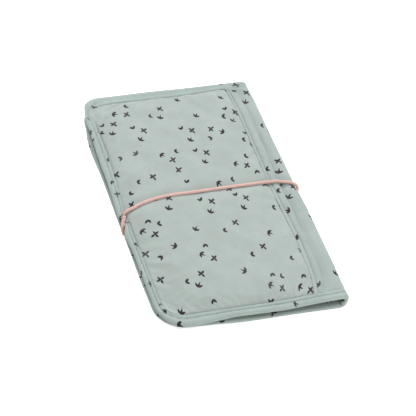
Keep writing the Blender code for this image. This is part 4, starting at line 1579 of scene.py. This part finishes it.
# name, cover, inset, distance from mid-height, Z side faced, CAD node
for row in (
    ("front_binding_stitches", FRONT, 5.6, 1.25, 1, "front_outer_stitching"),
    ("front_lining_stitches", FRONT, 6.2, 1.62, -1, "front_lining_stitching"),
    ("back_binding_stitches", BACK, 5.5, 0.95, -1, "back_outer_stitching"),
    ("back_lining_stitches", BACK, 6.1, 1.4, 1, "back_lining_stitching"),
):
    build_edge_stitches(*row)
build_band_stitches("seam_stitches_panel", BAND_X0 - 0.28, -0.02, "seam_stitching_panel")
build_band_stitches("seam_stitches_strip", BAND_X1 + 0.30, -0.05, "seam_stitching_strip")
build_back_outer()
build_lining("front_lining_cloth", True, "front_lining", "spine_lining")
build_lining("back_lining_cloth", False, "back_lining")
build_foam("front_padding", True, "front_foam", "front_cover")
build_foam("back_padding", False, "back_foam", "back_cover")
build_spine_foam()
build_pocket()
build_mats()
build_cord()
build_cord_stitches()


# ------------------------------------------------------------- stage, in metres
def build_floor():
    """White sweep, lit well past white so that only the closest contact shadow shows."""
    mesh = bpy.data.meshes.new("floor")
    half = 6.0
    corners = [(-half, -half, 0), (half, -half, 0), (half, half, 0), (-half, half, 0)]
    mesh.from_pydata(corners, [], [(0, 1, 2, 3)])
    floor = link("floor", mesh)
    made, tree, _ = new_material("floor_paper")
    made.node_tree.nodes.clear()
    out = tree.node("ShaderNodeOutputMaterial")
    seen = tree.node("ShaderNodeLightPath").outputs["Is Camera Ray"]

    def glowing(paper_colour, glow_colour, strength):
        paper = tree.node("ShaderNodeBsdfDiffuse")
        paper.inputs["Color"].default_value = paper_colour
        glow = tree.node("ShaderNodeEmission")
        tree.fill(glow, {"Color": glow_colour, "Strength": strength})
        both = tree.node("ShaderNodeAddShader")
        tree.fill(both, {0: paper.outputs[0], 1: glow.outputs[0]})
        return both.outputs[0]

    to_camera = glowing((0.93, 0.93, 0.93, 1), (1, 1, 1, 1), strength=0.55)
    to_pad = glowing((0.94, 0.92, 0.84, 1), (1.0, 0.97, 0.86, 1), strength=0.10)
    pick = tree.node("ShaderNodeMixShader")
    tree.fill(pick, {0: seen, 1: to_pad, 2: to_camera})
    tree.wire(out.inputs["Surface"], pick.outputs[0])
    mesh.materials.append(made)


def add_light(name, where, size, power):
    """A white disk light aimed at the origin."""
    light = bpy.data.lights.new(name, "AREA")
    assign(light, shape="DISK", size=size, energy=power, color=(1, 1, 1))
    obj = bpy.data.objects.new(name, light)
    assign(
        obj,
        location=where,
        rotation_mode="QUATERNION",
        rotation_quaternion=(-Vector(where)).to_track_quat("-Z", "Y"),
    )
    bpy.context.scene.collection.objects.link(obj)


def build_camera():
    azimuth, elevation, roll = (math.radians(angle) for angle in (-26.5, 44.6, 12.0))
    distance = 1.206
    centre = np.array((-0.003, -0.015, 0.010))
    back = np.array((
        math.sin(azimuth) * math.cos(elevation),
        -math.cos(azimuth) * math.cos(elevation),
        math.sin(elevation),
    ))
    level = np.cross(-back, (0.0, 0.0, 1.0))
    level /= np.linalg.norm(level)
    upright = np.cross(level, -back)
    right = level * math.cos(roll) + upright * math.sin(roll)
    up = -level * math.sin(roll) + upright * math.cos(roll)
    data = bpy.data.cameras.new("camera")
    assign(data, sensor_width=36.0, lens=122.971154, clip_start=0.05, clip_end=30.0)
    obj = link("camera", data)
    placed = np.column_stack([right, up, back, centre + back * distance])
    obj.matrix_world = Matrix(np.vstack([placed, (0.0, 0.0, 0.0, 1.0)]).tolist())
    bpy.context.scene.camera = obj


def build_world():
    """Soft white surroundings, brighter overhead and towards +X."""
    world = bpy.data.worlds.new("studio")
    world.use_nodes = True
    tree = Nodes(world.node_tree)
    where = tree.node("ShaderNodeTexCoord").outputs["Generated"]
    across, _, up = tree.split(where)
    sky = tree.math(
        "MULTIPLY",
        tree.ramp(up, span=(-0.1, 0.75), to=(0.30, 0.85)),
        tree.ramp(across, span=(-0.95, 0.1), to=(0.50, 1.06)),
    )
    tree.fill(
        world.node_tree.nodes["Background"], {"Color": (1, 1, 1, 1), "Strength": sky}
    )
    bpy.context.scene.world = world


build_floor()
build_camera()
add_light("key", where=(-0.48, 2.46, 1.98), size=0.60, power=73.0)
add_light("soft_top", where=(0.20, -0.20, 1.7), size=1.8, power=8.6)
add_light("front", where=(0.62, -1.38, 0.42), size=0.9, power=8.6)
build_world()
assign(
    bpy.context.scene.view_settings,
    view_transform="Standard", look="None", exposure=0.0, gamma=1.0,
)
